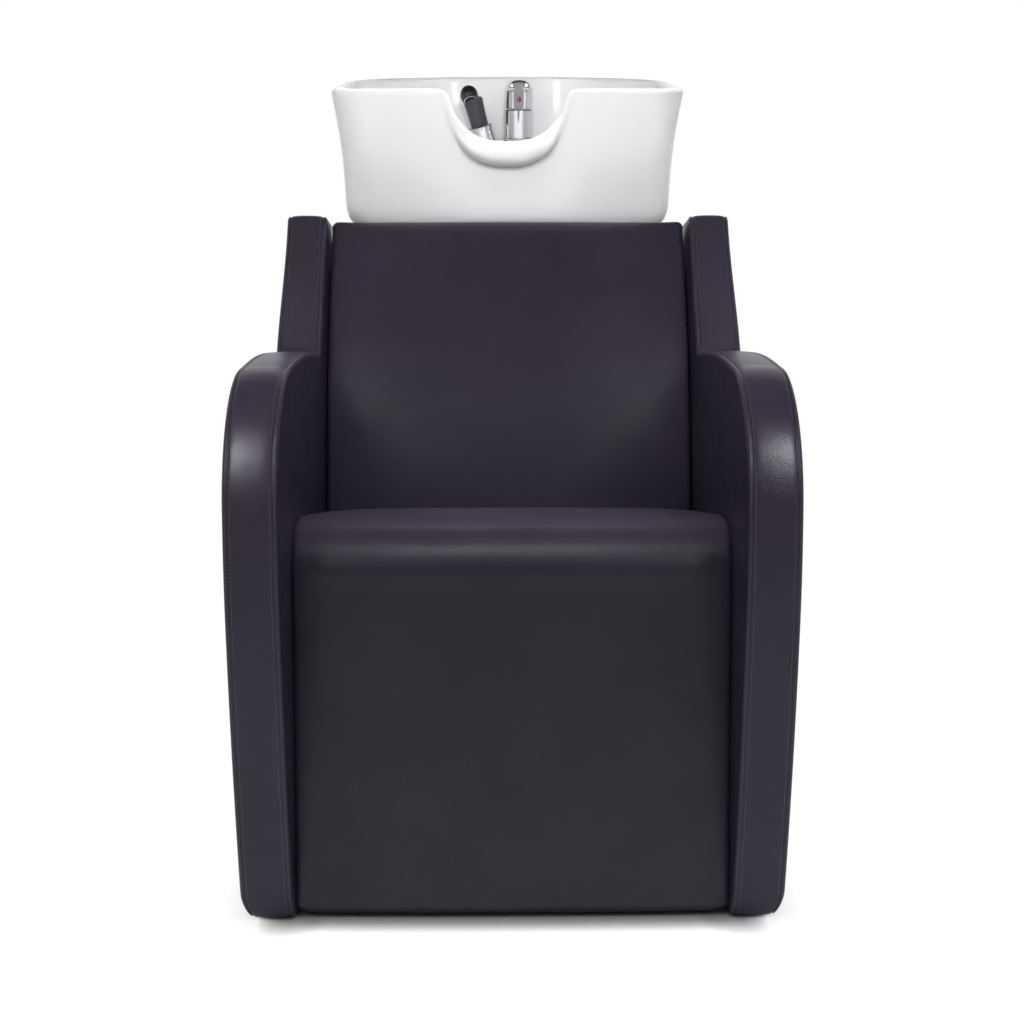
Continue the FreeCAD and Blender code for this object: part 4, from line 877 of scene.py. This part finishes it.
# Hand spray: a waisted grip that leans left and a rounded head whose face turns to the seat
SPRAY_X, SPRAY_D = -37, 1150
LEAN = math.radians(15)
SPRAY_UP = Vector((-math.sin(LEAN), 0, math.cos(LEAN)))
SPRAY_SIDE = Vector((math.cos(LEAN), 0, math.sin(LEAN)))
SPRAY_BACK = Vector((0, 1, 0))
# The grip's outline: radius and height up the lean
GRIP_LINE = [(11, 27), (13.2, 27.4), (14.4, 28.6), (14.8, 31), (14.9, 40), (15.2, 50), (15.8, 60), (16.4, 68),
             (16.6, 72), (16.0, 75), (13, 77)]
HEAD_AT, HEAD_ROUND, HEAD_TALL, HEAD_FACE = Vector((-4.0, -5.0, 83.0)), 15.4, 17.0, 11.5
HEAD_TILT = math.radians(48)
HEAD_LOOK = Vector((0, -math.cos(HEAD_TILT), -math.sin(HEAD_TILT)))
HEAD_RISE = Vector((0, -math.sin(HEAD_TILT), math.cos(HEAD_TILT)))
FACE_RING, FACE_RING_THICK = 10.2, 0.9
NOZZLE_RINGS = [(0.0, 1), (3.8, 6), (7.2, 12)]
NOZZLE_LINE = [(1.1, 0.0), (0.9, 0.9), (0.45, 1.3)]


def spray_spot(side, back, up):
    v = SPRAY_SIDE * side + SPRAY_BACK * back + SPRAY_UP * up
    return spot(SPRAY_X + v.x, SPRAY_D + v.y, DECK + v.z)


def face_spot(side, rise, out):
    return spray_spot(*(HEAD_AT + HEAD_LOOK * (HEAD_FACE + out) + HEAD_RISE * rise + Vector((side, 0, 0))))


def build_spray():
    rings = []
    for radius, up in GRIP_LINE:
        rings.append([spray_spot(radius * math.cos(turn), radius * math.sin(turn), up) for turn in turns(48)])
    rings_to_piece("spray_grip", rings, "hand_spray", GRIP, ["spray_handle"])
    rings, bands = [], 28
    for k in range(1, bands):
        polar = math.pi * k / bands
        wide, loop = HEAD_ROUND * math.sin(polar), []
        for turn in turns(48):
            p = Vector((wide * math.cos(turn), wide * math.sin(turn), HEAD_TALL * math.cos(polar)))
            p -= HEAD_LOOK * max(0.0, p.dot(HEAD_LOOK) - HEAD_FACE)
            loop.append(spray_spot(*(HEAD_AT + p)))
        rings.append(loop)
    rings_to_piece("spray_bulb", rings, "hand_spray", MATERIALS["black_gloss"], ["spray_head"])


def build_spray_face():
    # A chrome ring around the face, and its rubber nozzles
    points, rows = [], []
    for turn in turns(48):
        rows.append(list(range(len(points), len(points) + 10)))
        for bend in turns(10):
            radius = FACE_RING + FACE_RING_THICK * math.cos(bend)
            out = 0.2 + FACE_RING_THICK * math.sin(bend)
            points.append(face_spot(radius * math.cos(turn), radius * math.sin(turn), out))
    make_piece("spray_face_ring", points, bridge(rows + [rows[0]]), "hand_spray", CHROME)
    points, faces = [], []
    for distance, number in NOZZLE_RINGS:
        for turn in turns(number):
            a, b = distance * math.cos(turn), distance * math.sin(turn)
            rows = []
            for radius, out in NOZZLE_LINE:
                rows.append(list(range(len(points), len(points) + 8)))
                points += [face_spot(a + radius * math.cos(q), b + radius * math.sin(q), out)
                           for q in turns(8)]
            faces += bridge(rows) + [tuple(rows[-1])]
    make_piece("spray_nozzles", points, faces, "hand_spray", MATERIALS["rubber"])


def beads(name, place, ring_radius, up, number, radius=2.0):
    # A ring of small round chrome beads
    points, faces = [], []
    bands = 6
    for turn in turns(number):
        a, b = ring_radius * math.cos(turn), ring_radius * math.sin(turn)
        rows = []
        for k in range(bands + 1):
            polar = math.pi * k / bands
            size = max(radius * math.sin(polar), 0.03)
            rows.append(list(range(len(points), len(points) + 8)))
            points += [place(a + size * math.cos(q), b + size * math.sin(q), up + radius * math.cos(polar))
                       for q in turns(8)]
        faces += bridge(rows) + [tuple(rows[0]), tuple(rows[-1])]
    make_piece(name, points, faces, "basin", CHROME)


def tap_spot(side, back, up):
    return spot(TAP_X + side, TAP_D + back, DECK + up)


build_spray()
build_spray_face()
beads("spray_collar_beads", spray_spot, 19.0, 26.4, 26)
beads("tap_base_beads", tap_spot, 26.2, 7.0, 34)


# Panels and shells behind the seat, with their edges eased
EASE, EASE_ABOVE_DEG = 1.0, 50


def eased(name):
    row = next(r for r in frame["record"]["subparts"] if r["node"] == name)
    mesh = bpy.data.meshes.new(name + "_eased")
    work = bmesh.new()
    work.from_mesh(frame["nodes"][name].data)
    bmesh.ops.remove_doubles(work, verts=work.verts, dist=1e-6)
    bmesh.ops.dissolve_limit(work, angle_limit=math.radians(1), verts=work.verts, edges=work.edges)
    limit = math.radians(EASE_ABOVE_DEG)
    sharp = [e for e in work.edges if len(e.link_faces) == 2 and e.calc_face_angle() > limit]
    bmesh.ops.bevel(work, geom=sharp, offset=EASE * MM, segments=2, profile=0.5, affect="EDGES",
                    clamp_overlap=True)
    work.to_mesh(mesh)
    work.free()
    for polygon in mesh.polygons:
        polygon.use_smooth = True
    mesh.set_sharp_from_angle(angle=math.radians(38))
    piece = bpy.data.objects.new(name + "_eased", mesh)
    bpy.context.scene.collection.objects.link(piece)
    mesh.materials.append(MATERIALS[row["material_slot"]])
    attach(piece, "chassis")
    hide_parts(name)


for name in ("column_shell", "access_panel", "rear_panel"):
    eased(name)


# Studio: pale floor, white backdrop, a room that is dim behind the camera, and soft lamps
def ray_mask(tree, *kinds):
    # One for rays of any of the named kinds
    rays = node(tree, "ShaderNodeLightPath")
    value = rays.outputs[kinds[0]]
    for kind in kinds[1:]:
        either = node(tree, "ShaderNodeMath", operation="MAXIMUM")
        tree.links.new(value, either.inputs[0])
        tree.links.new(rays.outputs[kind], either.inputs[1])
        value = either.outputs[0]
    return value


def grey(tree, value):
    made = node(tree, "ShaderNodeCombineColor")
    for channel in ("Red", "Green", "Blue"):
        tree.links.new(value, made.inputs[channel])
    return made.outputs["Color"]


def mixed(tree, share, first, second):
    made = node(tree, "ShaderNodeMixShader")
    for value, key in ((share, "Fac"), (first, 1), (second, 2)):
        tree.links.new(value, made.inputs[key])
    return made.outputs[0]


FLOOR_HALF, SHADE_REACH, FLOOR_GLOW, FLOOR_SHARE = 9, 0.045, 1.15, 0.85


def build_floor():
    # The floor looks white through a glow seen by camera, glossy and transmission rays; ambient occlusion
    # darkens that glow close to the unit, a painted contact shadow, more under the apron than under the sides
    mesh = bpy.data.meshes.new("studio_floor")
    corners = [(x * FLOOR_HALF, y * FLOOR_HALF, 0) for x, y in ((-1, -1), (1, -1), (1, 1), (-1, 1))]
    mesh.from_pydata(corners, [], [(0, 1, 2, 3)])
    floor = bpy.data.objects.new("studio_floor", mesh)
    bpy.context.scene.collection.objects.link(floor)
    material, tree, shader = new_material("studio_floor")
    shader.inputs["Base Color"].default_value = (0.80, 0.80, 0.80, 1)
    shader.inputs["Roughness"].default_value = 0.9
    shader.inputs["Specular IOR Level"].default_value = 0.0
    near = node(tree, "ShaderNodeAmbientOcclusion", Distance=SHADE_REACH)
    across = node(tree, "ShaderNodeSeparateXYZ")
    tree.links.new(position(tree), across.inputs[0])
    aside = node(tree, "ShaderNodeMath", operation="ABSOLUTE")
    tree.links.new(across.outputs["X"], aside.inputs[0])
    # Ambient occlusion raised to a large power under the apron and a small one beside it: a painted contact
    # shadow in the floor's glow
    painted_shadow = node(tree, "ShaderNodeMath", operation="POWER")
    tree.links.new(near.outputs["AO"], painted_shadow.inputs[0])
    tree.links.new(spread(tree, aside.outputs[0], 6.5, 0.3, 0.24, 0.31), painted_shadow.inputs[1])
    glow = node(tree, "ShaderNodeEmission", Strength=FLOOR_GLOW)
    tree.links.new(painted_shadow.outputs[0], glow.inputs["Color"])
    seen = ray_mask(tree, "Is Camera Ray", "Is Glossy Ray", "Is Transmission Ray")
    share = node(tree, "ShaderNodeMath", operation="MULTIPLY")
    share.inputs[1].default_value = FLOOR_SHARE
    tree.links.new(seen, share.inputs[0])
    surface = mixed(tree, share.outputs[0], shader.outputs[0], glow.outputs[0])
    tree.links.new(surface, tree.nodes["Material Output"].inputs["Surface"])
    mesh.materials.append(material)


def build_world():
    # The camera sees white, mirrors see grey walls under a dark ceiling, and the rest is a dim room
    world = bpy.data.worlds.new("studio")
    bpy.context.scene.world = world
    world.use_nodes = True
    tree = world.node_tree
    split = node(tree, "ShaderNodeSeparateXYZ")
    tree.links.new(node(tree, "ShaderNodeTexCoord").outputs["Generated"], split.inputs[0])
    white = node(tree, "ShaderNodeBackground", Strength=1.0)
    white.inputs["Color"].default_value = (1, 1, 1, 1)
    room = tree.nodes["Background"]
    tree.links.new(grey(tree, spread(tree, split.outputs["Y"], 0.07, 0.50, -0.5, 0.4)), room.inputs["Color"])
    room.inputs["Strength"].default_value = 1.0
    ceiling = spread(tree, split.outputs["Z"], 1.0, 0.0, 0.32, 0.62)
    backdrop = spread(tree, split.outputs["Y"], 0.30, 0.80, -0.1, 0.3)
    tone = node(tree, "ShaderNodeMath", operation="MULTIPLY_ADD")
    tree.links.new(ceiling, tone.inputs[0])
    tree.links.new(backdrop, tone.inputs[1])
    tone.inputs[2].default_value = 0.05
    walls = node(tree, "ShaderNodeBackground", Strength=1.0)
    tree.links.new(grey(tree, tone.outputs[0]), walls.inputs["Color"])
    mirrors = ray_mask(tree, "Is Glossy Ray", "Is Transmission Ray")
    unseen_part = mixed(tree, mirrors, room.outputs[0], walls.outputs[0])
    surface = mixed(tree, ray_mask(tree, "Is Camera Ray"), unseen_part, white.outputs[0])
    tree.links.new(surface, tree.nodes["World Output"].inputs["Surface"])


build_floor()
build_world()


def softbox(name, place, aim, size, power, spread_deg=180):
    lamp = bpy.data.lights.new(name, "AREA")
    lamp.shape = "RECTANGLE"
    lamp.size, lamp.size_y = size
    lamp.energy = power
    lamp.spread = math.radians(spread_deg)
    holder = bpy.data.objects.new(name, lamp)
    holder.location = place
    holder.rotation_euler = (Vector(aim) - Vector(place)).to_track_quat("-Z", "Y").to_euler()
    bpy.context.scene.collection.objects.link(holder)
    return holder


# Fills don't show in reflections, and gleams show only there
fills = [
    softbox("front_key", (0, -1.3, 2.6), (0, -0.2, 0.5), (2.4, 0.6), 5),
    softbox("back_fill", (0, -2.4, 1.9), (0, 0.0, 0.56), (1.0, 0.4), 0.54, 22),
    softbox("basin_fill", (0, -2.2, 1.6), (0, 0.15, 1.05), (0.6, 0.3), 0.5, 19),
    softbox("seat_light", (0, 1.0, 2.3), (0, -0.38, 0.46), (0.5, 0.2), 1.7, 20),
    softbox("floor_fill", (0, -2.2, 0.35), (0, -0.6, 0.02), (1.2, 0.3), 0.5, 36),
    softbox("overhead", (0, -0.6, 2.5), (0, -0.45, 0.5), (1.2, 0.6), 2.6, 62),
]
nose_light = softbox("nose_light", (0, -1.2, 2.5), (0, -0.6, 0.46), (0.44, 0.2), 0.52, 40)
gleams = [(nose_light, "seat_upholstery")]
for hand, sign in (("left", -1), ("right", 1)):
    fills.append(softbox(hand + "_key", (sign * 1.5, -1.5, 2.1), (0, -0.05, 0.5), (0.6, 0.7), 6.5))
    softbox(hand + "_strip", (sign * 0.9, -1.95, 1.85), (sign * 0.3, -0.5, 0.5), (0.26, 0.9), 6)
    arm_light = softbox(hand + "_arm_light", (sign * 1.12, -2.0, 2.4), (sign * 0.42, -0.81, 0.5), (0.7, 0.95),
                        2.6, 26)
    gleams.append((arm_light, hand + "_side_upholstery"))
    fills.append(softbox(hand + "_wing_fill", (sign * 0.3, -2.2, 2.0), (sign * 0.3, 0.02, 0.66), (0.3, 0.3),
                         0.11, 10))
for lamp in fills:
    lamp.visible_glossy = False
for lamp, receiver in gleams:
    # A gleam stands for a narrow flagged box, so only the piece it is aimed at receives it
    lamp.visible_diffuse = False
    group = bpy.data.collections.new(lamp.name + "_receivers")
    group.objects.link(bpy.data.objects[receiver])
    lamp.light_linking.receiver_collection = group

CAMERA_AT, CAMERA_PITCH_DEG, CAMERA_TURN_DEG, CAMERA_LENS = (-0.021, -2.482, 1.019), 15, -0.6, 60.4
camera_data = bpy.data.cameras.new("photo_camera")
camera_data.lens, camera_data.sensor_width = CAMERA_LENS, 36
camera_data.clip_end = 60
camera = bpy.data.objects.new("photo_camera", camera_data)
camera.location = CAMERA_AT
camera.rotation_euler = (math.radians(90 - CAMERA_PITCH_DEG), 0, math.radians(CAMERA_TURN_DEG))
bpy.context.scene.collection.objects.link(camera)
bpy.context.scene.camera = camera
bpy.context.scene.view_settings.view_transform = "Standard"
